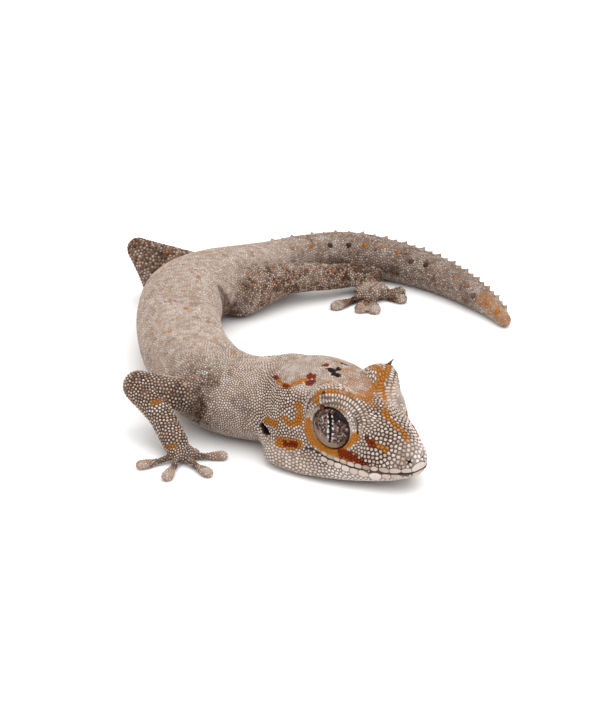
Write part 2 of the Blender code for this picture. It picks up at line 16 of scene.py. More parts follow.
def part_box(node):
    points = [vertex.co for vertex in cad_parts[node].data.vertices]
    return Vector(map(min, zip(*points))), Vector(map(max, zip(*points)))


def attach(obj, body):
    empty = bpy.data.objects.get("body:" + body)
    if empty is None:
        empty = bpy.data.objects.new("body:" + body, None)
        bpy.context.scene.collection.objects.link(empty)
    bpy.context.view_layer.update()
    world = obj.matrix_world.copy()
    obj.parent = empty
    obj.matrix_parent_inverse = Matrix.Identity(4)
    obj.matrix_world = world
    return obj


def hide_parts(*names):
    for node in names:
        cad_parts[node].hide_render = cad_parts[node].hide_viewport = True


MM = 0.001
rng = np.random.default_rng(11)

# The photograph's view: a long lens, 23 degrees over the floor, aimed at the origin of the part's source.
VIEW_RISE = 23.0
VIEW_DISTANCE = 400.0
PICTURE = (610, 724)
FOCAL_PIXELS = 3260.0

# Head, in its own frame: distances back from the snout's tip, to the left, and above the mouth line.
SNOUT = (12.75, -37.5)
HEAD_HEADING, HEAD_PITCH, HEAD_ROLL = -48.0, -3.5, 2.4
MOUTH_HEIGHT = 2.7
HEAD_LENGTH = 21.2
HEAD_BEND_START, HEAD_BEND = 13.5, 17.0
MOUTH_CORNER = 12.0
GAP = 0.3
# distance back, half width, rise, drop, squareness above and below, fullness of the jowl
HEAD_PROFILE = (
    (0.0, 0.0, 0.0, 0.0, 2.0, 2.0, 0.0),
    (0.1, 0.95, 1.2, 0.4, 2.0, 2.0, 0.0),
    (0.4, 1.6, 1.95, 0.75, 2.0, 2.1, 0.0),
    (1.3, 2.5, 2.85, 1.3, 2.0, 2.2, 0.0),
    (2.4, 3.12, 3.45, 1.8, 2.0, 2.6, 0.0),
    (4.2, 4.08, 4.3, 2.35, 2.0, 2.9, 0.08),
    (6.6, 5.05, 5.2, 2.85, 2.0, 3.4, 0.15),
    (9.0, 5.75, 5.9, 3.2, 2.05, 3.8, 0.21),
    (12.5, 6.5, 6.8, 3.65, 2.2, 4.2, 0.25),
    (15.5, 7.0, 7.15, 3.85, 2.25, 3.8, 0.24),
    (18.0, 6.9, 7.0, 4.05, 2.2, 3.6, 0.2),
    (21.2, 6.3, 5.95, 4.2, 2.15, 2.6, 0.0),
)
EYE_BACK, EYE_SIDE, EYE_RISE = 9.8, 3.05, 3.15
EYE_RADIUS, EYE_DEPTH = 2.9, 2.8
EYE_ROUNDNESS = 3.5  # radius of curvature of the eyeball's face
EYE_TILT, EYE_FORWARD = 9.0, 14.0
# The opening between the lids: half its length from front to back, half its height, and its middle under
# the eye's.
OPENING_LONG, OPENING_HIGH, OPENING_DROP = 2.52, 2.5, 0.12
LID_WIDTH, LID_THICKNESS = 0.4, 0.26  # half sizes of the rounded rim
# distance back, side, rise, radius
SWELLINGS = ((10.0, 2.95, 3.3, 3.0), (10.6, 3.5, 4.8, 2.85), (10.4, 4.35, 5.55, 1.9))
# root, way, length, radius of the foot
BROW_SPINES = (
    ((-10.5, 4.9, 7.15), (-0.1, 0.78, 0.58), 1.1, 0.28),
    ((-9.9, 5.6, 6.3), (-0.1, 0.6, 0.4), 0.6, 0.27),
    ((-8.5, 4.7, 5.9), (0.4, 0.5, 0.7), 0.35, 0.3),
)

# Backbone: x, y, z, half width, rise, drop.
BACKBONE = (
    (-5.0, -21.25, 4.8, 6.1, 4.15, 5.0),
    (-7.8, -20.1, 4.8, 6.0, 4.0, 5.0),
    (-10.6, -17.7, 4.9, 5.55, 4.2, 5.1),
    (-13.0, -12.6, 4.8, 5.3, 4.6, 5.05),
    (-14.9, -4.6, 4.8, 5.2, 4.7, 5.05),
    (-15.5, 3.8, 4.8, 5.2, 4.6, 5.05),
    (-14.6, 11.2, 4.6, 5.1, 4.3, 4.85),
    (-11.7, 16.3, 4.3, 4.7, 3.9, 4.5),
    (-7.7, 19.9, 3.9, 4.2, 3.6, 4.1),
    (-4.2, 23.6, 3.4, 3.3, 3.3, 3.55),
    (-0.2, 27.1, 3.05, 2.95, 3.15, 3.2),
    (5.9, 29.9, 2.8, 2.85, 2.75, 2.95),
    (12.4, 27.3, 2.6, 2.6, 2.4, 2.75),
    (17.95, 22.7, 2.25, 2.2, 2.1, 2.35),
    (21.6, 18.0, 1.8, 1.75, 1.65, 1.85),
    (23.95, 14.2, 1.3, 1.3, 1.15, 1.35),
    (25.5, 10.6, 0.75, 0.75, 0.65, 0.85),
)
TAIL_END_ROUNDING = 0.9
BODY_SQUARENESS = 2.15
BODY_ENDS = (0.09, 0.23, 0.36, 0.48, 0.59, 0.70, 0.81, 0.91, 1.0)
END_CLEARANCE = 0.95
# first and last distance, spacing at each end, degrees from the top, height at each end, radius at each end
TAIL_SPINES = (57.2, 94.6, 2.9, 2.2, (-46.0, 38.0), (0.95, 0.7), (0.5, 0.36))
BACK_CONES = (4.0, 54.0, 3.2, 3.4, (-45.0, 27.0), (0.26, 0.36), (0.42, 0.42))

# Legs: joints as x, y, z and radius, palms as place and half sizes, and the tips of the digits.
LEGS = {
    "foreleg_right": {
        "upper": ((-11.2, -21.2, 4.6, 2.5), (-15.0, -21.8, 5.3, 1.95), (-19.25, -21.6, 6.1, 1.9)),
        "lower": ((-19.25, -21.6, 6.1, 1.9), (-16.45, -24.8, 3.6, 1.55), (-14.9, -27.7, 1.8, 1.55)),
        "palm": (-14.2, -28.8, 1.0, 1.7, 1.5, 1.0),
        "digits": ((-12.2, -27.4), (-8.75, -28.4), (-10.55, -33.7), (-15.8, -34.8), (-19.3, -31.3)),
    },
    "foreleg_left": {
        "upper": ((-9.4, -16.4, 4.6, 2.2), (-6.2, -13.0, 4.2, 1.8), (-2.6, -10.6, 3.6, 1.7)),
        "lower": ((-2.6, -10.6, 3.6, 1.7), (0.6, -12.6, 2.7, 1.45), (3.6, -14.3, 1.7, 1.2)),
        "palm": (4.7, -14.8, 1.0, 1.5, 1.7, 1.0),
        "digits": ((5.4, -18.9), (9.2, -16.9), (10.2, -13.0), (7.4, -9.6), (3.4, -10.2)),
    },
    "hindleg_right": {
        "upper": ((-11.6, 18.0, 4.1, 2.5), (-17.2, 20.2, 5.2, 2.15), (-21.3, 21.4, 6.65, 1.5)),
        "lower": ((-21.3, 21.4, 6.65, 1.5), (-19.85, 19.3, 4.1, 1.4), (-19.0, 17.0, 1.8, 1.15)),
        "palm": (-18.9, 18.2, 1.0, 1.5, 1.8, 1.0),
        "digits": ((-20.4, 14.2), (-20.3, 22.6), (-18.9, 25.2), (-16.4, 25.0), (-14.8, 22.2)),
    },
    "hindleg_left": {
        "upper": ((-8.3, 15.7, 3.4, 3.6), (-1.6, 19.7, 3.35, 2.05), (3.0, 21.4, 2.75, 1.7)),
        "lower": ((3.0, 21.4, 2.75, 1.7), (6.0, 23.2, 2.3, 1.55), (9.0, 24.4, 1.8, 1.15)),
        "palm": (8.6, 21.2, 1.0, 2.3, 2.1, 1.0),
        "digits": ((6.8, 15.6), (3.3, 16.8), (8.9, 15.2), (13.1, 19.3), (13.0, 22.4)),
    },
}
DIGIT_RADIUS = {"foreleg": 0.55, "hindleg": 0.62}
DIGIT_ROOT_HEIGHT, DIGIT_HEIGHT, DIGIT_FLATNESS = 0.9, 0.42, 0.8
# shares of a digit's length from its root, and its width there
DIGIT_WIDTHS = ((0.0, 0.3, 0.55, 0.72, 0.86, 0.95, 1.0), (1.15, 0.95, 0.9, 1.25, 1.42, 1.15, 0.3))
TUBE_STEP = 0.3  # between the sections of a leg

# The skin.
COAT_DEPTH = 0.1  # how far the skin lies inside the solids
VOXEL = 0.21
SMOOTHINGS = 5

# Markings, and patches of painted shade and painted light, placed by the pixels of the photograph that
# they cover: kind, strength, reach in pixels, whether the far side of the head has them too, and the line
# that they follow.
MARKS = (
    ("orange", 0.85, 3.2, True, (
        (316, 402), (315, 397), (318.6, 393.2), (325.7, 391.4), (334.6, 390.6), (340, 391.4),
    )),
    ("orange", 0.7, 3.2, True, ((340, 391.4), (348, 393.4), (358, 396), (367, 400.5))),
    ("orange", 0.85, 2.4, False, (
        (277, 379), (283, 385), (290, 386.3), (295.4, 383), (301.6, 381), (307, 378.4), (310.5, 376),
    )),
    ("rust", 1.0, 3.4, False, ((309.8, 375.6), (312, 376.6))),
    ("rust", 1.0, 3.4, False, ((309, 382.2), (311.8, 382))),
    ("rust", 0.8, 2.1, False, ((275, 377), (276, 378))),
    ("rust", 0.6, 2.4, False, ((284, 386), (288, 387))),
    ("rust", 1.0, 2.9, False, ((324.3, 365.1), (327, 365.5))),
    ("dark", 1.0, 3.4, False, ((330, 369.4), (333, 370.6))),
    ("dark", 0.9, 2.2, False, ((337.4, 368.4), (338.4, 369.6))),
    ("dark", 1.0, 3.1, False, ((334.4, 374.4), (336.8, 375.2))),
    ("orange", 0.8, 2.2, False, ((335, 361), (338.6, 361.8))),
    ("dark", 0.9, 1.6, False, ((340.8, 362.9), (346, 364.9))),
    ("orange", 0.45, 2.6, False, ((343, 384), (346, 386))),
    ("orange", 0.8, 4.0, False, ((365, 366), (371, 366), (376, 367), (380.2, 371), (383, 374))),
    ("orange", 0.8, 4.2, False, ((381, 374), (382, 378), (379.3, 384.5), (382, 390.7), (384, 396))),
    ("orange", 0.5, 3.0, False, ((384, 396), (385.5, 401.4), (385, 408))),
    ("orange", 0.9, 3.3, False, (
        (385.2, 411), (386, 416), (391, 421), (397, 426.4), (405, 433.6), (406, 438.5),
    )),
    ("rust", 0.9, 2.0, True, ((366, 438), (370.4, 442.5), (374, 444.6))),
    ("orange", 1.0, 2.1, True, ((370.4, 442.5), (379.3, 446), (386.4, 449.6))),
    ("orange", 1.0, 3.2, True, ((265.7, 419.5), (272.1, 422.3), (276, 424))),
    ("orange", 1.0, 3.2, True, (
        (283, 417), (286.1, 421.5), (291.2, 425.2), (298.5, 421.5), (300, 413), (298, 406),
    )),
    ("orange", 1.0, 5.2, True, ((279, 441.5), (287, 444), (298, 444))),
    ("rust", 1.0, 2.6, True, ((284, 443.5), (296, 444.5))),
    ("orange", 1.0, 3.4, True, (
        (357, 435), (353, 440), (347, 445), (335, 451), (323.9, 449), (313, 441), (308, 431), (308, 421),
    )),
    ("orange", 0.5, 2.0, True, ((336.4, 407.7), (345.4, 413))),
    ("orange", 1.0, 5.0, True, ((336, 451.5), (346, 455.5), (356, 460))),
    ("rust", 1.0, 4.0, True, ((341, 452.5), (348, 455), (354.3, 458.4), (364, 464.6))),
    ("rust", 1.0, 2.3, True, ((322, 406.6), (323.2, 407))),
    ("pale", 0.5, 4.2, True, ((349, 413), (352.5, 417), (354.2, 423), (354, 430))),
    ("pale", 0.5, 9.0, True, ((335, 468), (352, 476), (372, 480), (392, 478), (410, 476))),
    # Painted shade in the ear slit.
    ("dark", 1.0, 2.2, True, ((263.2, 426.4), (267.6, 433))),
    ("orange", 0.9, 2.6, True, ((309.8, 424), (309.8, 430), (311, 436))),
    # Painted shade on the shoulder.
    ("grey_and_shade", 0.22, 15.0, False, ((150, 350), (168, 348), (186, 362))),
    # Painted light on the snout's right edge.
    ("pale", 0.8, 10.0, False, ((414, 430), (421, 441), (424, 451), (422, 460))),
    ("orange", 0.2, 6.0, False, ((345, 378), (356, 388), (364, 384))),
    # Painted shade on the tail's lower side, by the hind foot.
    ("grey_and_shade", 0.5, 6.5, False, ((330, 262), (360, 268), (394, 271))),
    ("orange", 0.45, 4.0, False, ((344, 371), (351, 369), (358, 366))),
    ("orange", 0.32, 6.0, False, ((350, 384), (360, 379), (371, 386))),
    ("orange", 0.5, 4.0, False, ((325, 383), (334, 384))),
    ("orange", 0.6, 4.0, False, ((362, 392), (366, 398), (373, 404))),
    # Painted shade in the armpit, in two spots on the neck, and on the body's inner side by the hip.
    ("grey_and_shade", 0.55, 12.0, False, ((184, 388), (194, 398), (196, 408))),
    ("grey_and_shade", 0.22, 7.0, False, ((210, 380), (213, 386))),
    ("grey_and_shade", 0.45, 8.0, False, ((240, 402), (246, 408))),
    ("grey_and_shade", 1.0, 11.0, False, ((222, 296), (226, 312), (224, 330))),
    ("orange", 0.8, 2.6, False, ((152, 403), (160, 401))),
    ("orange", 0.85, 2.2, False, ((168, 447), (176, 447))),
    ("pale", 0.55, 3.0, False, ((150, 411), (166, 405))),
    ("orange", 0.45, 9.0, False, ((484, 298), (497, 311), (506, 322))),
)
# Ear slit, nostril and the groove round the front of the near eye's lids, by the pixels they cover: the
# ends of each, its half width in pixels, its depth, and whether the far side of the head has it too.
PITS = (
    (((262.8, 425.9), (268.0, 433.6)), 2.3, 0.8, True),
    (((408.6, 461.7), (410.6, 461.7)), 2.1, 0.5, True),
    (((356.2, 414.5), (358.0, 423)), 1.2, 0.2, False),
    (((358.0, 423), (358.2, 433.6)), 1.2, 0.2, False),
)
MARK_STEP = 1.2  # pixels between the places of a mark's line
# Kinds of mark, a column each. The last kind is painted shade; the pale kind is mostly the hide's own pale
# scales, with painted light on the snout's right edge.
COLOURS = {"orange": 0, "rust": 1, "dark": 2, "pale": 3, "grey_and_shade": 4}
# The line between the lips, from the eye to the snout, by the pixels it covers.
LIP_LINE = (
    (312, 448.8), (319.5, 453.2), (328.4, 458.6), (340, 463), (352.5, 467.5), (365.9, 470.6),
    (379.3, 472.9), (397.1, 474.2), (408, 474), (413.2, 473.8), (419.5, 471.1), (425.5, 466.6),
)
# Where the plates of the lips end, from the snout back, as pixels across the photograph, and their heights
# in pixels, each for the upper and the lower lip. The last table says how much of that height a plate of
# either lip has at some places.
UPPER_PLATES = (412.5, 401.2, 389.1, 378.4, 370.2, 362.0, 354.4, 347.0, 340.0, 333.4, 327.0, 321.0)
LOWER_PLATES = (413.0, 403.0, 390.9, 381.5, 368.6, 357.9, 349.4, 341.4, 334.0, 327.0, 320.6)
PLATE_HEIGHTS = (5.6, 8.4)
PLATE_FADES = ((320, 375, 386, 408), ((0.68, 1.0, 1.0, 1.0), (0.68, 0.86, 0.6, 0.36)))
# The eye's middle in pixels, and the rows of long scales that spread from it: distance from the middle,
# length and width of a scale in pixels, and the first and last angle.
EYE_PIXEL = (330.7, 429.6)
RAYS = (
    (24.2, 4.8, 2.9, 22, 152),
    (29.4, 5.2, 3.0, 16, 142),
    (34.6, 5.0, 3.1, 20, 114),
    (40.0, 4.8, 3.2, 26, 62),
)
# Rows of small scales along the lids: distance from the opening, number in a full turn, size across,
# first and last angle, and whether both eyes have the row. The far eye's lid shows its upper ledge, which
# has one row more.
LID_ROWS = (
    (0.17, 52, 0.32, 0, 360, True),
    (0.54, 46, 0.38, -220, 36, True),
    (0.9, 48, 0.36, -24, 34, True),
    (0.56, 44, 0.4, 44, 132, False),
)
RAY_SIZES, RAY_STRETCHES = (0.27, 0.56), (0.9, 3.2)
# Cones of the tail's near row and of the back, by the pixels they cover, with the mark on each and its
# strength.
TAIL_CONES = (
    ((292, 248), "orange", 0.35), ((310.5, 246), "orange", 0.8), ((330.2, 245.3), "dark", 0.85),
    ((348.5, 245.3), "dark", 0.85), ((364.6, 245.3), "orange", 0.9), ((382.9, 246.7), "orange", 0.75),
    ((398.3, 252.3), "orange", 0.6), ((411, 261.4), "dark", 0.8), ((425.7, 265), "dark", 0.85),
    ((440.4, 270.5), "orange", 0.35), ((455.9, 277.5), "orange", 0.5), ((466.4, 286), "rust", 0.55),
    ((472.8, 296), "dark", 0.7), ((487, 303), "orange", 0.95), ((497, 311.5), "orange", 1.0),
)
BACK_SPOTS = (
    ((223.8, 255.5), 0.6), ((208.4, 256), 0.35), ((248.6, 259.5), 0.3), ((203.7, 270.2), 0.3),
    ((198.4, 276.9), 0.95), ((189, 285.6), 0.45), ((182.3, 291), 0.65), ((150.2, 278.9), 0.6),
    ((145.5, 298.3), 0.6), ((160.2, 294.3), 0.3), ((185.6, 308.4), 0.95), ((159.5, 322.4), 0.4),
    ((168.9, 331.8), 0.55), ((202.4, 327.8), 0.4), ((215.1, 339.8), 0.5), ((201.7, 347.8), 0.4),
    ((233.2, 353.5), 0.5), ((185, 384), 0.55), ((197, 378), 0.5),
)


def spline(knots, values, at):
    """Smooth values at the places in at, through the values given at the knots."""
    knots = np.asarray(knots, float)
    values = np.asarray(values, float)
    slopes = np.gradient(values, knots, axis=0)
    at = np.clip(np.asarray(at, float), knots[0], knots[-1])
    i = np.clip(np.searchsorted(knots, at, side="right") - 1, 0, len(knots) - 2)
    span = knots[i + 1] - knots[i]
    t = (at - knots[i]) / span
    shape = (-1,) + (1,) * (values.ndim - 1)
    t, span = t.reshape(shape), span.reshape(shape)
    return (
        (2 * t**3 - 3 * t**2 + 1) * values[i]
        + (t**3 - 2 * t**2 + t) * span * slopes[i]
        + (3 * t**2 - 2 * t**3) * values[i + 1]
        + (t**3 - t**2) * span * slopes[i + 1]
    )


def smooth(low, high, value):
    t = np.clip((value - low) / (high - low), 0, 1)
    return t * t * (3 - 2 * t)


def unit(vectors):
    return vectors / np.maximum(np.linalg.norm(vectors, axis=-1, keepdims=True), 1e-9)


def distances(places):
    """How far along a line of places each one is."""
    return np.concatenate([[0], np.cumsum(np.linalg.norm(np.diff(places, axis=0), axis=1))])


def resampled(line, count=None):
    """Evenly spaced places along a line of pixels, at every MARK_STEP where no count is given."""
    line = np.array(line, float)
    steps = distances(line)
    at = np.linspace(0, steps[-1], count or max(2, round(steps[-1] / MARK_STEP)))
    return np.stack([np.interp(at, steps, line[:, k]) for k in (0, 1)], axis=1)


def tree_of(places):
    """A quick way to find the nearest of some places."""
    tree = KDTree(len(places))
    for k, place in enumerate(places):
        tree.insert(place, k)
    tree.balance()
    return tree


def ring_angles(sides):
    return np.linspace(0, 2 * math.pi, sides, endpoint=False)


def squared(value, power):
    """The value raised to a power, with its own sign."""
    return np.sign(value) * np.abs(value) ** power


def section_axes(way):
    """The ways across and up a section that the given way passes through."""
    side = unit(np.cross(way, (0, 0, 1)))
    return side, np.cross(side, way)


# The head's frame.


def head_axes():
    turn = (
        Matrix.Rotation(math.radians(HEAD_HEADING), 3, "Z")
        @ Matrix.Rotation(math.radians(-HEAD_PITCH), 3, "Y")
        @ Matrix.Rotation(math.radians(HEAD_ROLL), 3, "X")
    )
    return np.array(turn)


HEAD_AXES = head_axes()
HEAD_ORIGIN = np.array([*SNOUT, MOUTH_HEIGHT])


def to_head(points):
    """Points of the head's frame, over the floor."""
    return np.asarray(points) @ HEAD_AXES.T + HEAD_ORIGIN


def from_head(points):
    """Points over the floor, in the head's frame."""
    return (np.asarray(points) - HEAD_ORIGIN) @ HEAD_AXES


def bend_tables():
    table = np.linspace(0.0, HEAD_LENGTH + 4.0, 231)
    reach = HEAD_LENGTH - HEAD_BEND_START
    yaws = math.radians(HEAD_BEND) * (np.maximum(table - HEAD_BEND_START, 0.0) / reach) ** 2
    step = table[1] - table[0]
    line_x = -np.concatenate([[0.0], np.cumsum(np.cos(yaws[1:]) * step)])
    line_y = -np.concatenate([[0.0], np.cumsum(np.sin(yaws[1:]) * step)])
    return table, yaws, line_x, line_y


def bent(points):
    """Places of the head's frame moved to follow the turn of its back towards the neck."""
    points = np.asarray(points, float)
    table, yaws, line_x, line_y = bend_tables()
    back = -points[..., 0]
    yaw = np.interp(back, table, yaws)
    x = np.interp(back, table, line_x) - np.sin(yaw) * points[..., 1]
    y = np.interp(back, table, line_y) + np.cos(yaw) * points[..., 1]
    return np.stack([np.where(back < 0, points[..., 0], x), y, points[..., 2]], axis=-1)


def unbent(points):
    """The straight head's places of points that follow the turn."""
    points = np.asarray(points, float)
    guess = points.copy()
    for _ in range(12):
        guess += 0.8 * (points - bent(guess))
    return guess


def other_side(points):
    """The places that mirror these on the head's other side."""
    return to_head(bent(unbent(from_head(points)) * np.array([1, -1, 1])))


def eye_centre(side):
    return np.array([-EYE_BACK, side * EYE_SIDE, EYE_RISE])


def eye_axis(side):
    tilt, forward = math.radians(EYE_TILT), math.radians(EYE_FORWARD)
    return np.array(
        [math.cos(tilt) * math.sin(forward), side * math.cos(tilt) * math.cos(forward), math.sin(tilt)]
    )


def eye_frame(side):
    """Centre of an eyeball over the floor, and three directions: to the snout, up the eye, and outwards."""
    out = HEAD_AXES @ eye_axis(side)
    up = HEAD_AXES[:, 2] - out * (HEAD_AXES[:, 2] @ out)
    up /= np.linalg.norm(up)
    front = np.cross(up, out) * side
    front *= np.sign(front @ HEAD_AXES[:, 0])
    return to_head(eye_centre(side)), front, up, out


def swollen(points, centre, radius, blend=0.5):
    away = points - centre
    distance = np.linalg.norm(away, axis=-1, keepdims=True)
    wanted = blend * np.logaddexp(distance / blend, radius / blend)
    near = distance < radius + 4 * blend
    return np.where(near, centre + away / np.maximum(distance, 1e-6) * wanted, points)


def head_surface(backs, degrees):
    """Sections of the head's surface, straight or not, as places by distance back and by angle."""
    profile = np.array(HEAD_PROFILE)
    backs = np.asarray(backs, float)
    width, rise, drop, over, under, jowl = spline(np.sqrt(profile[:, 0]), profile[:, 1:], np.sqrt(backs)).T
    angles = np.radians(degrees)
    across, up = np.cos(angles), np.sin(angles)
    rings = []
    for k, back in enumerate(backs):
        power = 2 / np.where(up > 0, over[k], under[k])
        side = squared(across, power) * width[k]
        side *= 1 + jowl[k] * np.where(up < 0, -4 * up * (1 + up), 0.0)
        height = np.abs(up) ** power * np.where(up > 0, rise[k], -drop[k])
        rings.append(np.stack([np.full(len(angles), -back), -side, height], axis=1))
    rings = np.array(rings)
    for back, out, rise, radius in SWELLINGS:
        for side in (1, -1):
            rings = swollen(rings, np.array([-back, side * out, rise]), radius)
    return to_head(bent(rings))


# The body's frame.


class Backbone:
    """The body's middle line and the size of its sections, by distance from the back of the head."""

    def __init__(self):
        width, rise, drop = HEAD_PROFILE[-1][1:4]
        middle, half = (rise - drop) / 2, (rise + drop) / 2
        backs = HEAD_LENGTH + np.array([-2.5, 0.0, GAP])
        inside, rear, start = to_head(bent(np.stack([-backs, 0 * backs, 0 * backs + middle], axis=1)))
        self.first_way = (start - rear) / np.linalg.norm(start - rear)
        table = np.array(BACKBONE)
        self.places = np.vstack([[inside, start], table[:, :3]])
        self.sizes = np.vstack([[(width, half, half)] * 2, table[:, 3:]])
        at = distances(self.places)
        self.knots = at - at[1]
        self.length = self.knots[-1]

    def place(self, s):
        return spline(self.knots, self.places, s)

    def along(self, s):
        step = 0.05
        way = unit(self.place(np.asarray(s) + step) - self.place(np.asarray(s) - step))
        return np.where(np.asarray(s)[:, None] <= 0, self.first_way, way)

    def rings(self, stations, sides):
        """Sections at those distances."""
        stations = np.asarray(stations, float)
        places, ways = self.place(stations), self.along(stations)
        sizes = spline(self.knots, self.sizes, stations)
        left_over = np.clip((self.length - stations) / TAIL_END_ROUNDING, 0, 1)
        sizes = sizes * np.sqrt(1 - (1 - left_over) ** 2)[:, None]
        angles = ring_angles(sides)
        power = 2 / BODY_SQUARENESS
        across, up = squared(np.cos(angles), power), squared(np.sin(angles), power)
        rings = []
        for place, way, (width, rise, drop) in zip(places, ways, sizes):
            side, over = section_axes(way)
            height = up * np.where(up > 0, rise, drop)
            rings.append(place + np.outer(across * width, side) + np.outer(height, over))
        return np.array(rings)

    def surface(self, s, angle):
        """A place on the body at a distance and an angle from the top, and the way its skin faces there."""
        place, way = self.place([s])[0], self.along([s])[0]
        width, rise, _ = spline(self.knots, self.sizes, [s])[0]
        side, over = section_axes(way)
        across, up = math.sin(math.radians(angle)), math.cos(math.radians(angle))
        power = 2 / BODY_SQUARENESS
        point = place + side * math.copysign(abs(across) ** power, across) * width + over * up**power * rise
        return point, unit(side * across / width + over * up / rise), way


def row_places(backbone, row):
    """The roots of a pair of rows: distance, place, outward way, way along, height and radius of each."""
    first, last, spacing_first, spacing_last, angles, heights, radii = row
    found = []
    for number, angle in enumerate(angles):
        s = first + 0.45 * number * spacing_first
        while s < last:
            share = (s - first) / (last - first)
            for end in np.array(BODY_ENDS) * backbone.length:
                if abs(s - end) < END_CLEARANCE:
                    s = end + math.copysign(END_CLEARANCE, s - end)
                    break
            root, out, way = backbone.surface(s, angle)
            height, radius = np.interp(share, (0, 1), heights), np.interp(share, (0, 1), radii)
            found.append((number, s, root, out, way, height, radius))
            s += np.interp(share, (0, 1), (spacing_first, spacing_last))
    return found


# Tubes that the skin is made of. Each is a set of rings.


def swept(places, radii, sides, flatness=1.0):
    """Sections round a line of places, as wide as the radii and lower by the flatness."""
    angles = ring_angles(sides)
    rings = []
    for place, way, radius in zip(places, unit(np.gradient(places, axis=0)), radii):
        side, over = section_axes(way)
        across, up = np.cos(angles) * radius, np.sin(angles) * radius * flatness
        rings.append(place + np.outer(across, side) + np.outer(up, over))
    return np.array(rings)


def round_tube(joints):
    """A round-ended tube through joints of x, y, z and radius."""
    joints = np.asarray(joints, float)
    knots = distances(joints[:, :3])
    middle = spline(knots, joints, np.linspace(0, knots[-1], max(6, round(knots[-1] / TUBE_STEP))))
    places, radii = middle[:, :3], middle[:, 3]
    first, last = unit(places[1] - places[0]), unit(places[-1] - places[-2])
    turns = np.radians([88, 75, 60, 45, 30, 15])
    begin = [places[0] - first * radii[0] * math.sin(t) for t in turns]
    end = [places[-1] + last * radii[-1] * math.sin(t) for t in turns[::-1]]
    places = np.vstack([begin, places, end])
    radii = np.concatenate([radii[0] * np.cos(turns), radii, radii[-1] * np.cos(turns[::-1])])
    return swept(places, radii, 40)


def digit_tube(base, tip, radius):
    """A toe that slopes down from the palm and widens to a pad near its tip."""
    shares = np.linspace(0, 1, 26)
    along = np.array(base) + shares[:, None] * (np.array(tip) - base)
    heights = DIGIT_ROOT_HEIGHT + (DIGIT_HEIGHT - DIGIT_ROOT_HEIGHT) * np.minimum(shares / 0.5, 1.0)
    joints = np.column_stack([along, heights])
    return swept(joints, np.interp(shares, *DIGIT_WIDTHS) * radius, 20, DIGIT_FLATNESS)


def palm_tube(palm):
    x, y, z, *sizes = palm
    heights = np.radians(np.linspace(-86, 86, 18))
    angles = ring_angles(36)
    flat = np.column_stack([np.cos(angles), np.sin(angles)])
    rings = [np.column_stack([flat * math.cos(h), np.full(len(flat), math.sin(h))]) for h in heights]
    return np.array(rings) * np.array(sizes) + np.array([x, y, z])


def ball_height(front, up):
    """How far the eyeball's face stands out over its middle."""
    return EYE_DEPTH - EYE_ROUNDNESS + np.sqrt(np.maximum(EYE_ROUNDNESS**2 - front**2 - up**2, 0))


def opening_edge(turn, grown=0.0):
    """The opening's edge at an angle from the front, moved out some way: to the front, up and outwards."""
    front = (OPENING_LONG + grown) * np.cos(turn)
    up = (OPENING_HIGH + grown) * np.sin(turn) - OPENING_DROP
    rim_front = OPENING_LONG * np.cos(turn)
    rim_up = OPENING_HIGH * np.sin(turn) - OPENING_DROP
    return front, up, ball_height(rim_front, rim_up)


def opening_share(points, side):
    """How far points are across the opening, as 1 on its edge, and how far they stand out."""
    centre, front, up, out = eye_frame(side)
    away = points - centre
    across = np.hypot((away @ front) / OPENING_LONG, (away @ up + OPENING_DROP) / OPENING_HIGH)
    return across, away @ out


def turn_of(points, side):
    """The angle of points from the front of an eye, in its opening's own oval."""
    centre, front, up, _ = eye_frame(side)
    away = points - centre
    return np.arctan2((away @ up + OPENING_DROP) / OPENING_HIGH, (away @ front) / OPENING_LONG)


def lid_tube(side):
    """The rounded rim of an eye's lids, as rings round its own section."""
    centre, front, up, out = eye_frame(side)
    rings = []
    for a in ring_angles(72):
        b = ring_angles(16)
        wide = LID_WIDTH * (1 + 0.35 * max(0.0, math.cos(a)))
        to_front, to_up, height = opening_edge(a, wide + wide * np.cos(b))
        thick = LID_THICKNESS * (1 + 0.4 * math.cos(a))
        height = height + 0.04 + thick * np.sin(b) - 0.25 * (1 + np.cos(b)) * wide
        rings.append(centre + np.outer(to_front, front) + np.outer(to_up, up) + np.outer(height, out))
    return np.array(rings)


def all_tubes(backbone):
    """Every tube of the skin: name, kind, rings, and whether it closes on itself."""
    backs = np.linspace(0.12, math.sqrt(HEAD_LENGTH + 1.2), 130) ** 2
    head = head_surface(np.minimum(backs, HEAD_LENGTH + 0.8), np.linspace(-90, 270, 144, endpoint=False))
    tubes = [("head", "head", head, False)]
    body = backbone.rings(np.linspace(-0.6, backbone.length - 0.02, 360), 96)
    tubes.append(("body", "body", body, False))
    for side in (1, -1):
        tubes.append((f"lid{side}", "head", lid_tube(side), True))
    for name, leg in LEGS.items():
        tubes.append((name + "_upper", "leg", round_tube(leg["upper"]), False))
        tubes.append((name + "_lower", "leg", round_tube(leg["lower"]), False))
        tubes.append((name + "_palm", "foot", palm_tube(leg["palm"]), False))
        radius = DIGIT_RADIUS[name.split("_")[0]]
        for k, tip in enumerate(leg["digits"]):
            tubes.append((f"{name}_digit{k}", "foot", digit_tube(leg["palm"][:2], tip, radius), False))
    return tubes


def tube_faces(count, sides, closed, start):
    rows = count if closed else count - 1
    k, j = np.meshgrid(np.arange(rows), np.arange(sides), indexing="ij")
    a = k * sides + j
    b = k * sides + (j + 1) % sides
    c = (k + 1) % count * sides + (j + 1) % sides
    d = (k + 1) % count * sides + j
    return (np.stack([a, b, c, d], axis=-1).reshape(-1, 4) + start).tolist()


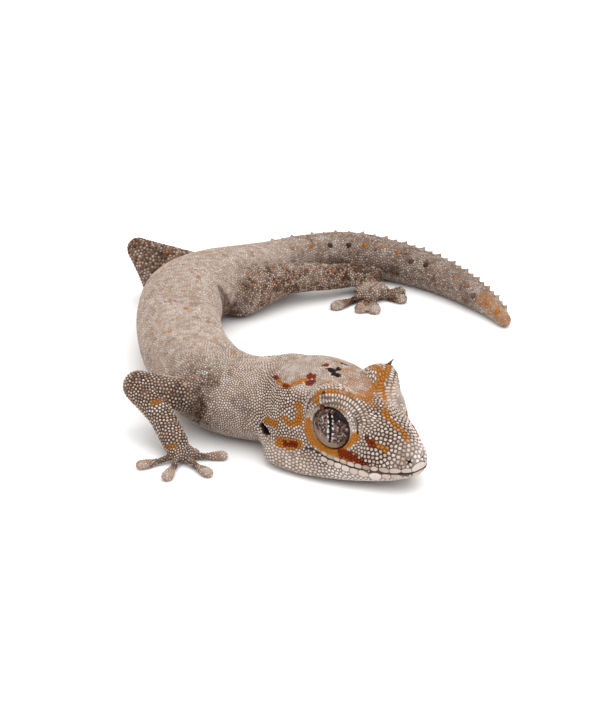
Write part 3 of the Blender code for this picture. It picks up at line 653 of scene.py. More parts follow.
def quick_mesh(name, points, triangles):
    """A mesh from arrays of points in millimetres and of triangles."""
    mesh = bpy.data.meshes.new(name)
    mesh.vertices.add(len(points))
    mesh.vertices.foreach_set("co", ((points + SHIFT) * MM).astype(np.float32).ravel())
    mesh.loops.add(triangles.size)
    mesh.loops.foreach_set("vertex_index", triangles.astype(np.int32).ravel())
    mesh.polygons.add(len(triangles))
    mesh.polygons.foreach_set("loop_start", np.arange(0, triangles.size, 3, dtype=np.int32))
    mesh.polygons.foreach_set("use_smooth", np.ones(len(triangles), dtype=bool))
    mesh.update(calc_edges=True)
    mesh.validate()
    return mesh


def read_all(parts, what, width, kind):
    """One value of every part of a mesh, as an array."""
    values = np.zeros(len(parts) * width, kind)
    parts.foreach_get(what, values)
    return values.reshape(-1, width)


def shown(name, mesh, material):
    obj = bpy.data.objects.new(name, mesh)
    bpy.context.scene.collection.objects.link(obj)
    mesh.materials.append(material)
    return obj


class Skin:
    """The skin's surface as arrays, with quick ways to find places on it."""

    def __init__(self, backbone):
        self.tubes = all_tubes(backbone)
        loft, faces, *labels = self.joined_tubes()
        self.remeshed(loft, faces)
        self.settle()
        self.label(loft, *labels)
        self.index()
        self.find_mouth()
        self.carve()

    def joined_tubes(self):
        """All tubes as one set of points and faces, with each point's tube and place along and round it."""
        points, faces, owner, along, around = [], [], [], [], []
        start = 0
        for number, (_, kind, rings, closed) in enumerate(self.tubes):
            count, sides = rings.shape[:2]
            points.append(rings.reshape(-1, 3))
            faces += tube_faces(count, sides, closed, start)
            at = distances(rings[:, 0] if closed or kind == "foot" else rings.mean(1))
            owner.append(np.full(count * sides, number))
            along.append(np.repeat(at, sides))
            around.append(np.tile(np.arange(sides) / sides, count))
            start += count * sides
            if not closed:
                ends = np.array([rings[0].mean(0), rings[-1].mean(0)])
                points.append(ends)
                owner.append(np.full(2, number))
                along.append(np.array([at[0], at[-1]]))
                around.append(np.zeros(2))
                base = start - sides
                first = start - count * sides
                faces += [(start, first + (j + 1) % sides, first + j) for j in range(sides)]
                faces += [(start + 1, base + j, base + (j + 1) % sides) for j in range(sides)]
                start += 2
        return np.vstack(points), faces, *(np.concatenate(values) for values in (owner, along, around))

    def remeshed(self, loft, faces):
        """Keeps the tubes' outer shape in one closed surface."""
        shape = bpy.data.meshes.new("shape")
        shape.from_pydata((loft * MM).tolist(), [], faces)
        solid = bpy.data.objects.new("shape", shape)
        bpy.context.scene.collection.objects.link(solid)
        remesh = solid.modifiers.new("remesh", "REMESH")
        remesh.mode = "VOXEL"
        remesh.voxel_size = VOXEL * MM
        graph = bpy.context.evaluated_depsgraph_get()
        made = bpy.data.meshes.new_from_object(solid.evaluated_get(graph))
        bpy.data.objects.remove(solid)
        made.calc_loop_triangles()
        self.points = read_all(made.vertices, "co", 3, np.float32).astype(float) / MM
        self.triangles = read_all(made.loop_triangles, "vertices", 3, np.int32)
        self.edges = read_all(made.edges, "vertices", 2, np.int32)

    def fair(self, times, weight):
        """Smooths the surface, more where the weight is greater, without shrinking it."""
        a, b = self.edges.T
        count = len(self.points)
        links = np.bincount(a, minlength=count) + np.bincount(b, minlength=count)
        for turn in range(2 * times):
            mean = np.stack(
                [
                    np.bincount(a, self.points[b, k], count) + np.bincount(b, self.points[a, k], count)
                    for k in range(3)
                ],
                axis=1,
            ) / np.maximum(links, 1)[:, None]
            step = 0.5 if turn % 2 == 0 else -0.52
            self.points += (mean - self.points) * step * weight[:, None]

    def normals_now(self):
        a, b, c = (self.points[self.triangles[:, k]] for k in range(3))
        face = np.cross(b - a, c - a)
        normals = np.zeros_like(self.points)
        for k in range(3):
            for j in range(3):
                normals[:, j] += np.bincount(self.triangles[:, k], face[:, j], len(self.points))
        return unit(normals)

    def settle(self):
        """Smooths the joints of the legs, sinks the skin by the coat's depth, and opens the eyes."""
        near_joint = np.zeros(len(self.points))
        for leg in LEGS.values():
            for x, y, z, radius in (leg["upper"][0], leg["lower"][2]):
                away = np.linalg.norm(self.points - np.array([x, y, z]), axis=1)
                near_joint = np.maximum(near_joint, 1 - smooth(radius + 0.6, radius + 2.2, away))
        self.fair(25, near_joint)
        self.fair(SMOOTHINGS, np.ones(len(self.points)))
        self.points -= self.normals_now() * COAT_DEPTH
        self.open = np.zeros(len(self.points))
        for side in (1, -1):
            share, height = opening_share(self.points, side)
            inside = (share < 0.985) & (height > 0)
            self.points -= np.outer(inside * np.maximum(height - 0.3, 0), eye_frame(side)[3])
            self.open = np.maximum(self.open, inside)
            self.hug(side)
            self.trim(side, inside)
        self.points[:, 2] = np.maximum(self.points[:, 2], 0.02)
        self.normals = self.normals_now()

    def hug(self, side):
        """Lowers the skin round an eye where it stands too high over the rim of the opening."""
        share, height = opening_share(self.points, side)
        turn = turn_of(self.points, side)
        edge = opening_edge(turn)[2]
        beyond = (share - 1) * OPENING_LONG
        limit = edge + 0.1 + (0.34 + 0.32 * smooth(-0.1, 0.6, np.sin(turn))) * np.maximum(beyond, 0)
        near = (share > 0.99) & (beyond < 2.6) & (height > 0)
        excess = np.where(near, np.maximum(height - limit, 0) * (1 - smooth(1.2, 2.4, beyond)), 0)
        self.points -= np.outer(np.minimum(excess, 1.7), eye_frame(side)[3])
        self.fair(4, near * smooth(1.03, 1.15, share))

    def trim(self, side, inside):
        """Draws the skin's points next to an opening onto its edge, so that the rim is even."""
        centre, front, up, out = eye_frame(side)
        a, b = self.edges.T
        rim = np.zeros(len(self.points), bool)
        rim[a[inside[b] & ~inside[a]]] = True
        rim[b[inside[a] & ~inside[b]]] = True
        share, height = opening_share(self.points, side)
        rim &= (height > 0.3) & (share < 1.3)
        to_front, to_up, edge = opening_edge(turn_of(self.points[rim], side))
        on_plane = np.outer(to_front, front) + np.outer(to_up, up)
        self.points[rim] = centre + on_plane + np.outer(edge + 0.1, out)

    def label(self, loft, owner, along, around):
        """Gives each point of the skin the tube it belongs to, and its place along and round that tube."""
        tree = tree_of(loft)
        nearest = np.array([tree.find(p)[1] for p in self.points + self.normals * COAT_DEPTH])
        self.owner = owner[nearest]
        self.along = along[nearest]
        self.around = around[nearest]

    def index(self):
        self.tree = BVHTree.FromPolygons(self.points.tolist(), self.triangles.tolist())

    def find_mouth(self):
        """Keeps the line between the lips as its height over the head's level, by distance back."""
        local = unbent(from_head(self.cast(resampled(LIP_LINE, 60))))
        order = np.argsort(-local[:, 0])
        self.mouth_back, self.mouth_height = -local[order, 0], local[order, 2]

    def mouth_rise(self, back):
        return np.interp(back, self.mouth_back, self.mouth_height)

    def carve(self):
        """Sinks the ear slits, the nostrils and the groove before the near eye."""
        self.pit = np.zeros(len(self.points))
        depth = np.zeros(len(self.points))
        for line, reach, deep, both in PITS:
            pixels = np.linspace(line[0], line[1], 12)
            near_side = self.cast(pixels)
            far_side, _ = self.snapped(other_side(near_side))
            reach = reach * VIEW_DISTANCE / FOCAL_PIXELS
            for places in (near_side, far_side) if both else (near_side,):
                close = np.flatnonzero(np.linalg.norm(self.points - places.mean(0), axis=1) < 3)
                away = np.linalg.norm(self.points[close][:, None] - places[None], axis=2).min(1)
                pit = 1 - smooth(0.75 * reach, 1.2 * reach, away)
                self.pit[close] = np.maximum(self.pit[close], pit)
                depth[close] = np.maximum(depth[close], pit * deep)
        self.points -= self.normals * depth[:, None]
        self.normals = self.normals_now()
        self.index()

    def snapped(self, points):
        """The nearest places on the skin, and the triangle of each."""
        found = [self.tree.find_nearest(p) for p in points]
        return np.array([f[0] for f in found]), np.array([f[2] for f in found])

    def cast(self, pixels):
        """The places on the skin that the photograph shows at those pixels."""
        origin, right, up, forward = view_frame()
        places = []
        for x, y in pixels:
            way = forward + right * (x - PICTURE[0] / 2) / FOCAL_PIXELS
            way = way - up * (y - PICTURE[1] / 2) / FOCAL_PIXELS
            hit = self.tree.ray_cast(Vector(origin), Vector(unit(way)))
            if hit[0] is not None:
                places.append(hit[0])
        return np.array(places).reshape(-1, 3)


def view_frame():
    """Where the photograph was taken from, and the ways to its right, up and forward."""
    rise = math.radians(VIEW_RISE)
    place = np.array([0, -math.cos(rise), math.sin(rise)]) * VIEW_DISTANCE
    return place, np.array([1.0, 0, 0]), np.array([0, math.sin(rise), math.cos(rise)]), -place / VIEW_DISTANCE


def smooth_normals(skin, triangle, points):
    """The skin's way out at those places, blended over the corners of each one's triangle."""
    corners = skin.triangles[triangle]
    weights = 1 / (np.linalg.norm(skin.points[corners] - points[:, None], axis=2) + 0.02)
    return unit((skin.normals[corners] * weights[..., None]).sum(1))


# Markings, with painted shade and painted light among them.


def laid_marks(skin):
    """The marks, painted shade and painted light among them, as places on the skin: for each one its colour,
    strength, reach and places.
    """
    laid = []
    for pixel, kind, strength in TAIL_CONES:
        laid.append((COLOURS[kind], 0.75 * strength, 0.33, skin.cast([pixel])))
    for pixel, strength in BACK_SPOTS:
        laid.append((COLOURS["orange"], 0.85 * strength, 0.34, skin.cast([pixel])))
    for kind, strength, reach, both_sides, line in MARKS:
        places = skin.cast(resampled(line))
        reach = reach * VIEW_DISTANCE / FOCAL_PIXELS
        laid.append((COLOURS[kind], strength, reach, places))
        if both_sides:
            far, _ = skin.snapped(other_side(places))
            laid.append((COLOURS[kind], strength, reach, far))
    return [mark for mark in laid if len(mark[3])]


def marked(points, laid):
    """How strongly each colour of marking shows at the points, one column for each colour; the columns carry
    painted shade and painted light as well.
    """
    strengths = np.zeros((len(points), len(COLOURS)))
    for colour, strength, reach, places in laid:
        low, high = places.min(0) - 2 * reach, places.max(0) + 2 * reach
        near = np.flatnonzero(np.all((points > low) & (points < high), axis=1))
        if not len(near):
            continue
        away = np.linalg.norm(points[near][:, None] - places[None], axis=2).min(1)
        ragged = np.array([noise.noise(Vector(p * 2.1 + 9.0)) for p in points[near]])
        away = away - 0.22 * ragged * min(1.0, reach / 0.3)
        uneven = 0.0 if colour == COLOURS["dark"] else 0.22
        shows = strength * (1 - smooth(0.7 * reach, 1.35 * reach, away)) * (1 - uneven * np.abs(ragged))
        strengths[near, colour] = np.maximum(strengths[near, colour], shows)
    return strengths


# What the coat is like from place to place.


class Lay:
    """What the coat is like at each point of the skin: its beads' spacing, stretch, height and ground."""

    def __init__(self, skin):
        points = skin.points
        count = len(points)
        names, kinds = (np.array([tube[k] for tube in skin.tubes])[skin.owner] for k in (0, 1))
        self.head, self.body = kinds == "head", kinds == "body"
        self.legs = (kinds == "leg") | (kinds == "foot")
        self.s = np.where(self.body, skin.along - 0.6, 0.0)
        self.up = np.where(self.body, np.sin(2 * math.pi * skin.around), 0.0)
        local = unbent(from_head(points))
        self.local = local
        back, rise = -local[:, 0], local[:, 2]
        self.spacing = np.full(count, 0.42)
        self.depth = np.full(count, 0.3)
        self.beads = np.full(count, 0.12)
        self.tall = np.full(count, 0.26)
        self.gap = np.full(count, 0.6)
        self.stretch = np.ones(count)
        self.way = np.zeros((count, 3))
        self.dress_head(back, rise)
        self.dress_body()
        self.dress_legs(names, points, skin.along)
        self.dress_eyes(points)
        self.blend(skin)
        self.allowed(skin, back, rise)

    def blend(self, skin):
        """Evens out the coat's values behind the head, so that the legs run into the body."""
        a, b = skin.edges.T
        count = len(skin.points)
        links = np.maximum(np.bincount(a, minlength=count) + np.bincount(b, minlength=count), 1)
        loose = np.where(self.head, 0.0, 1.0)
        self.speckle = self.legs.astype(float)
        for value in (self.depth, self.beads, self.gap, self.tall, self.spacing, self.speckle):
            for _ in range(45):
                mean = (np.bincount(a, value[b], count) + np.bincount(b, value[a], count)) / links
                value += (mean - value) * 0.7 * loose

    def dress_head(self, back, rise):
        """The snout's large domes, the crown's small low ones, and the long scales of the chin."""
        here = self.head | (self.body & (self.s < 3))
        snout = (1 - smooth(5.5, 8.5, back)) * smooth(0.2, 1.2, rise)
        crown = smooth(7.5, 9.5, back) * smooth(5.0, 6.2, rise)
        jaw = 1 - smooth(-0.9, 0.1, rise)
        tip = 1 - smooth(1.0, 3.0, back)
        spacing = 0.41 + 0.12 * snout * (1 - crown) - 0.11 * crown - 0.03 * jaw
        spacing -= 0.05 * smooth(15.5, 18.5, back)
        depth = 0.14 + 0.06 * snout + 0.12 * crown - 0.02 * jaw + 0.02 * tip
        beads = 0.10 - 0.03 * crown
        tall = 0.30 + 0.04 * snout - 0.12 * crown - 0.06 * jaw
        gap = 0.95 - 0.55 * crown - 0.3 * jaw - 0.35 * tip * snout
        chin = jaw * (1 - smooth(8.0, 12.0, back))
        depth = depth - 0.1 * chin
        blend = np.where(self.head, 1.0, 1 - smooth(0, 3, self.s))
        for value, wanted in (
            (self.spacing, spacing),
            (self.depth, depth),
            (self.beads, beads),
            (self.tall, tall),
            (self.gap, gap),
        ):
            value[here] = (value + (wanted - value) * blend)[here]
        self.stretch[self.head] = (1 + 0.45 * jaw)[self.head]
        self.way[self.head] = HEAD_AXES[:, 0]

    def dress_body(self):
        here = self.body
        s, up = self.s, self.up
        spacing = np.interp(s, (0, 4, 12, 50, 60, 75, 95), (0.34, 0.33, 0.36, 0.37, 0.37, 0.36, 0.30))
        knots = (0, 5, 11, 20, 35, 48, 54, 60, 68, 76, 88, 95)
        depth = np.interp(s, knots, (0.12, 0.16, 0.23, 0.3, 0.32, 0.32, 0.34, 0.5, 0.54, 0.6, 0.58, 0.34))
        beads = np.interp(s, (0, 10, 55, 66, 95), (0.12, 0.07, 0.07, 0.1, 0.12))
        gap = np.interp(s, (0, 6, 14, 55, 66, 95), (0.75, 0.7, 0.28, 0.28, 0.45, 0.45))
        tall = np.interp(s, (0, 6, 14, 95), (0.28, 0.26, 0.18, 0.2))
        # Painted light and shade of the rounded body: paler over the top of the neck by the head, darker down
        # the sides; the belly is paler.
        depth = depth - 0.14 * (1 - smooth(3.0, 8.0, s)) * smooth(0.4, 0.8, up)
        shaded_flank = smooth(0.35, -0.25, up)
        belly = smooth(-0.35, -0.85, up)
        shaded_flank = shaded_flank * (1 - 0.6 * (1 - smooth(6.0, 12.0, s)))
        depth = depth + 0.14 * shaded_flank * (1 - belly) * smooth(62, 50, s) - 0.06 * belly
        near_head = 1 - smooth(0, 3, s)
        for value, wanted in (
            (self.spacing, spacing),
            (self.depth, depth),
            (self.beads, beads),
            (self.gap, gap),
            (self.tall, tall),
        ):
            value[here] = (wanted + (value - wanted) * near_head)[here]

    def dress_legs(self, names, points, along):
        grounds = {"foreleg_right": 0.28, "foreleg_left": 0.5, "hindleg_right": 0.8, "hindleg_left": 0.72}
        for leg, ground in grounds.items():
            own = np.char.startswith(names, leg)
            foot = own & (np.char.find(names, "digit") > 0)
            palm = own & (np.char.find(names, "palm") > 0)
            self.spacing[own] = 0.36 if leg == "hindleg_left" else 0.44
            self.spacing[palm] = 0.36
            self.spacing[foot] = 0.33
            self.depth[own] = ground
            self.depth[foot | palm] = ground - (0.28 if leg == "hindleg_left" else 0.1)
            self.beads[own] = 0.2
            self.gap[own] = 0.95 if leg.startswith("foreleg") else 0.6
            self.tall[own] = 0.27
            for digit in range(5):
                toe = names == f"{leg}_digit{digit}"
                if toe.any():
                    share = along[toe] / along[toe].max()
                    paler = np.interp(share, (0.3, 0.5, 0.66, 0.76), (0.02, 0.18, 0.08, -0.36))
                    self.depth[toe] = ground + paler
                    self.gap[toe] = np.interp(share, (0.6, 0.76), (0.9, 0.4))
            root = np.array(LEGS[leg]["upper"][0][:3])
            near = self.body & (np.linalg.norm(points - root, axis=1) < 6.5)
            if leg.startswith("foreleg"):
                shoulder = 1 - smooth(2.6, 6.0, np.linalg.norm(points - root, axis=1))
                self.depth[near] = np.maximum(self.depth, (0.62 * shoulder))[near]
                self.beads[near] = np.maximum(self.beads, 0.24 * shoulder)[near]

    def dress_eyes(self, points):
        """The small scales of the lids, and the long ones that spread from the eye like rays."""
        self.lid = np.zeros(len(points))
        for side in (1, -1):
            centre, front, up, out = eye_frame(side)
            away = points - centre
            height = away @ out
            flat = away - np.outer(height, out) + up * OPENING_DROP
            reach = np.linalg.norm(flat, axis=1)
            rays = flat / np.maximum(reach, 1e-6)[:, None]
            near = self.head & (height > -0.8) & (reach < 5.8)
            edge, _ = opening_share(points, side)
            beyond = (edge - 1) * OPENING_LONG
            lid_wide = 0.85 + 0.3 * smooth(0.6, 0.85, rays @ front) * smooth(-0.15, 0.1, rays @ up)
            lid_wide = lid_wide - 0.5 * smooth(0.3, 0.6, rays @ up)
            lid = (1 - smooth(lid_wide - 0.1, lid_wide + 0.1, beyond)) * near
            above = smooth(0.1, 0.45, rays @ up) * smooth(-0.85, -0.4, rays @ front)
            long = smooth(0.3, 0.5, beyond) * (1 - smooth(2.0, 2.6, beyond)) * above * near
            round_eye = (1 - smooth(1.6, 3.2, beyond)) * near
            for value, wanted, share in (
                (self.spacing, 0.38, round_eye),
                (self.gap, 0.85, round_eye),
                (self.tall, 0.3, round_eye),
                (self.spacing, 0.31, lid),
                (self.gap, 0.4, lid),
                (self.tall, 0.22, lid),
                (self.spacing, 0.36, long),
                (self.depth, 0.1, long),
                (self.gap, 0.8, long),
            ):
                value += (wanted - value) * share
            self.stretch = np.where(near, np.maximum(self.stretch, 1 + 1.0 * long), self.stretch)
            self.way[near & (long > 0.05)] = rays[near & (long > 0.05)]
            self.depth += 0.06 * lid * smooth(-0.2, 0.4, rays @ front)
            ledge = (1 - smooth(0.9, 1.3, beyond)) * smooth(-0.2, 0.3, rays @ up) * near * (side > 0)
            self.gap -= 0.5 * ledge * self.gap
            self.lid = np.maximum(self.lid, lid)

    def allowed(self, skin, back, rise):
        """Where beads may grow: not in the eyes' openings, the ears, the nostrils or the mouth."""
        self.bare = np.zeros(len(skin.points), bool)
        for side in (1, -1):
            share, height = opening_share(skin.points, side)
            self.bare |= (share < 0.985) & (height > -1)
        self.bare |= skin.pit > 0.25
        on_line = np.abs(rise - skin.mouth_rise(back)) < 0.09
        self.mouth = self.head & on_line & (back < MOUTH_CORNER)
        self.bare |= self.mouth


def patch(skin, middle, along, across):
    """A scale seen in the photograph: place, size across, stretch and way, from its two middle lines."""
    found = skin.cast([middle, *along, *across])
    if len(found) < 5:
        return None
    long, wide = np.linalg.norm(found[1] - found[2]), np.linalg.norm(found[3] - found[4])
    return found[0], wide, long / wide, unit(found[1] - found[2])


def mirrored(skin, place, way):
    """The same place and way on the head's other side."""
    both, _ = skin.snapped(other_side(np.array([place, place + 0.3 * way])))
    return both[0], unit(both[1] - both[0])


def lip_rows(skin):
    """The plates along both lips: places, sizes, and how far each is stretched along the lip."""
    line = np.array(LIP_LINE)
    scales = []
    rows = zip((UPPER_PLATES, LOWER_PLATES), PLATE_HEIGHTS, PLATE_FADES[1], (-1, 1))
    for edges, height, fades, way in rows:
        for front, back in zip(edges, edges[1:]):
            middle = 0.5 * (front + back)
            tall = height * np.interp(middle, PLATE_FADES[0], fades)

            def level(x):
                return np.interp(x, line[:, 0], line[:, 1]) + way * (0.5 * tall + 0.5)

            half = 0.5 * tall - 0.2
            along = ((front, level(front)), (back, level(back)))
            across = ((middle, level(middle) - half), (middle, level(middle) + half))
            scale = patch(skin, (middle, level(middle)), along, across)
            if scale is not None:
                scales.append(scale)
                there, turned = mirrored(skin, scale[0], scale[3])
                scales.append((there, scale[1], scale[2], turned))
    front = float(skin.mouth_rise(0.0))
    for rise, size, stretch in ((0.62, 1.2, 1.8), (-0.5, 0.95, 2.0)):
        scales.append((to_head(np.array([0.6, 0.0, front + rise])), size, stretch, HEAD_AXES[:, 1]))
    return tuple(np.array(values) for values in zip(*scales))


def lid_rows(skin):
    """The scales along the rims of the lids, and the long ones that spread like rays over the eye."""
    scales = []
    for side in (1, -1):
        centre, front, up, out = eye_frame(side)
        for grown, count, size, first, last, both in LID_ROWS:
            for k in range(count):
                a = 2 * math.pi * (k + 0.5 * (grown > 0.5)) / count
                degrees = math.degrees(a)
                degrees -= 360 * (degrees > last and degrees - 360 >= first)
                if first <= degrees <= last and (both or side > 0):
                    to_front, to_up, height = opening_edge(a, grown)
                    place = centre + front * to_front + up * to_up + out * (height + 0.15 + 0.2 * grown)
                    scales.append((place, size, 1.0, unit(front * math.cos(a) + up * math.sin(a))))
    for away, long, wide, first, last in RAYS:
        for degrees in np.arange(first, last, math.degrees(wide / away)):
            way = np.array([math.cos(math.radians(degrees)), -math.sin(math.radians(degrees))])
            sideways = np.array([-way[1], way[0]])
            middle = EYE_PIXEL + away * way
            along = (middle + 0.5 * long * way, middle - 0.5 * long * way)
            across = (middle + 0.5 * wide * sideways, middle - 0.5 * wide * sideways)
            scale = patch(skin, middle, along, across)
            if scale is not None:
                place, size, stretch, way = scale
                size, stretch = np.clip(size, *RAY_SIZES), np.clip(stretch, *RAY_STRETCHES)
                scales.append((place, size, stretch, way))
                there, turned = mirrored(skin, place, way)
                scales.append((there, size, stretch, turned))
    return tuple(np.array(values) for values in zip(*scales))


CELL_SHARE = 0.87  # area of a bead's cell in squares of its spacing
SPREADS = 24  # how often the beads are moved apart
PATCH_RADIUS = 0.0015  # of a bead's patch on the flat map


class Beads:
    """The places, sizes and looks of every bead scale."""

    def __init__(self, skin, lay, cones):
        own = [lip_rows(skin), lid_rows(skin)]
        self.plates = len(own[0][0])
        fixed = np.vstack([rows[0] for rows in own] + [cones[:, :3]])
        fixed_size = np.concatenate([rows[1] for rows in own] + [cones[:, 3]])
        fixed_stretch = np.concatenate([rows[2] for rows in own] + [np.ones(len(cones))])
        fixed_way = np.vstack([rows[3] for rows in own] + [np.tile([0, 0, 1.0], (len(cones), 1))])
        self.fixed = len(fixed)
        self.cones = len(cones)
        corners = skin.points[skin.triangles]
        sides = corners[:, 1:] - corners[:, :1]
        areas = 0.5 * np.linalg.norm(np.cross(sides[:, 0], sides[:, 1]), axis=1)
        free = ~lay.bare[skin.triangles].any(1)
        spacing = lay.spacing[skin.triangles].mean(1)
        stretch = lay.stretch[skin.triangles].mean(1)
        expected = areas * free / (CELL_SHARE * spacing**2 * stretch)
        total = round(expected.sum())
        chosen = rng.choice(len(areas), total, p=expected / expected.sum())
        mix = rng.random((total, 2))
        mix = np.where(mix.sum(1, keepdims=True) > 1, 1 - mix, mix)
        a, b, c = (corners[chosen, k] for k in range(3))
        loose = a + (b - a) * mix[:, :1] + (c - a) * mix[:, 1:]
        fixed, _ = skin.snapped(fixed)
        far = tree_of(fixed)
        clear = np.ones(total, bool)
        for k, place in enumerate(loose):
            for _, number, distance in far.find_n(place, 3):
                way = unit(fixed_way[number])
                share = abs((place - fixed[number]) @ way) / max(distance, 1e-6)
                reach = fixed_size[number] * (1 + (fixed_stretch[number] - 1) * share)
                clear[k] &= distance > 0.5 * reach
        self.places = np.vstack([fixed, loose[clear]])
        self.size = np.concatenate([fixed_size, np.zeros(clear.sum())])
        self.stretch = np.concatenate([fixed_stretch, np.ones(clear.sum())])
        self.way = np.vstack([fixed_way, np.zeros((clear.sum(), 3))])
        self.read(skin, lay)
        for turn in range(SPREADS):
            if turn % 4 == 0:
                self.neighbours(9)
            self.spread(skin, lay)
        self.neighbours(13)

    def read(self, skin, lay):
        """Takes each bead's values from the skin under it."""
        self.places, self.triangle = skin.snapped(self.places)
        corners = skin.triangles[self.triangle]
        away = np.linalg.norm(skin.points[corners] - self.places[:, None], axis=2)
        self.corner = corners[np.arange(len(corners)), away.argmin(1)]
        self.normal = smooth_normals(skin, self.triangle, self.places)
        loose = slice(self.fixed, None)
        self.size[loose] = lay.spacing[self.corner[loose]]
        self.stretch[loose] = lay.stretch[self.corner[loose]]
        self.way[loose] = lay.way[self.corner[loose]]
        along = self.way - self.normal * (self.way * self.normal).sum(1, keepdims=True)
        weak = np.linalg.norm(along, axis=1) < 0.05
        along[weak] = np.cross(self.normal[weak], [0.31, 0.53, 0.79])
        self.along = unit(along)
        self.across = np.cross(self.normal, self.along)

    def neighbours(self, count):
        tree = tree_of(self.places)
        found = [[hit[1] for hit in tree.find_n(p, count)[1:]] for p in self.places]
        self.near = np.array(found)

    def offsets(self):
        """From each bead to its neighbours: along and across, with its stretch taken out, and how far."""
        to = self.places[self.near] - self.places[:, None]
        u = np.einsum("ijk,ik->ij", to, self.along) / np.sqrt(self.stretch)[:, None]
        v = np.einsum("ijk,ik->ij", to, self.across) * np.sqrt(self.stretch)[:, None]
        return to, u, v, np.sqrt(u * u + v * v) + 1e-6

    def edge_of_plates(self, to):
        """How far from each bead the edge of a neighbouring plate is, where the neighbour is a plate."""
        plate = self.near < self.plates
        straight = np.linalg.norm(to, axis=2) + 1e-6
        along = np.abs((to * self.along[self.near]).sum(2)) / (self.size * self.stretch)[self.near]
        across = np.abs((to * self.across[self.near]).sum(2)) / self.size[self.near]
        inside = 0.5 * straight / np.maximum((along**4 + across**4) ** 0.25, 1e-6)
        return plate, straight, straight - inside

    def spread(self, skin, lay):
        """Moves the beads apart until they are packed evenly."""
        to, u, v, away = self.offsets()
        scale = np.sqrt(self.stretch)[:, None]
        wanted = 0.5 * (self.size[:, None] * scale + (self.size * np.sqrt(self.stretch))[self.near])
        push = np.clip(1.22 - away / wanted, 0, 1) * wanted * 0.28
        plate, _, edge = self.edge_of_plates(to)
        half = 0.5 * self.size[:, None]
        push = np.where(plate, np.clip(1.15 - edge / half, 0, 1.5) * half * 0.5, push)
        step_u = -(push * u / away).sum(1) * np.sqrt(self.stretch)
        step_v = -(push * v / away).sum(1) / np.sqrt(self.stretch)
        step = self.along * step_u[:, None] + self.across * step_v[:, None]
        longest = 0.35 * self.size
        length = np.linalg.norm(step, axis=1)
        step *= np.minimum(1, longest / np.maximum(length, 1e-9))[:, None]
        step[: self.fixed] = 0
        self.places = self.places + step
        self.read(skin, lay)


def band(low, high, sides):
    """Triangles between two rings of points that start at the given numbers."""
    j = np.arange(sides)
    k = (j + 1) % sides
    halves = [low + j, low + k, high + k], [low + j, high + k, high + j]
    return np.vstack([np.stack(half, axis=1) for half in halves])


def cap(ring, apex, sides):
    """Triangles from a ring of points to one point over it."""
    j = np.arange(sides)
    return np.stack([ring + j, ring + (j + 1) % sides, np.full(sides, apex)], axis=1)


def dome_faces(rings, sides):
    """The triangles of a dome: its rings from below, and its apex."""
    bands = [band(ring * sides, (ring + 1) * sides, sides) for ring in range(rings - 1)]
    return np.vstack([*bands, cap((rings - 1) * sides, rings * sides, sides)])


def bead_mesh(beads, chosen, sides, rings, cells, spots):
    """One mesh of domes for the chosen beads, each filling its own cell between its neighbours."""
    count = len(chosen)
    around = ring_angles(sides)[None] + beads.turn[chosen, None]
    out_u = np.cos(around) * np.sqrt(beads.stretch[chosen])[:, None]
    out_v = np.sin(around) / np.sqrt(beads.stretch[chosen])[:, None]
    along, across = beads.along[chosen][:, None], beads.across[chosen][:, None]
    ways = (along * out_u[..., None] + across * out_v[..., None]) * cells[chosen][..., None]
    tall = (beads.tall[chosen] * beads.size[chosen])[:, None, None]
    root = beads.places[chosen][:, None]
    normal = beads.normal[chosen][:, None]
    layers, rises = [], []
    for share, height, rise in rings:
        layers.append(root + ways * share + normal * (height * tall if height >= 0 else height))
        rises.append(np.full((count, sides), rise))
    points = np.concatenate([*layers, root + normal * tall], axis=1)
    points[..., 2] = np.maximum(points[..., 2], 0.0)
    rise = np.concatenate([*rises, np.ones((count, 1))], axis=1)
    each = points.shape[1]
    faces = dome_faces(len(rings), sides)
    triangles = (faces[None] + (np.arange(count) * each)[:, None, None]).reshape(-1, 3)
    shares = np.concatenate([np.full(sides, ring[0]) for ring in rings] + [[0.0]])
    spin = np.concatenate([np.tile(around, (1, len(rings))), np.zeros((count, 1))], axis=1)
    patch = PATCH_RADIUS * shares[None, :, None] * np.stack([np.cos(spin), np.sin(spin)], axis=2)
    places = spots[beads.corner[chosen]][:, None] + patch
    return (
        points.reshape(-1, 3),
        triangles,
        rise.ravel(),
        np.repeat(beads.ground[chosen], each, axis=0),
        np.repeat(beads.marks[chosen], each, axis=0),
        places.reshape(-1, 2),
    )


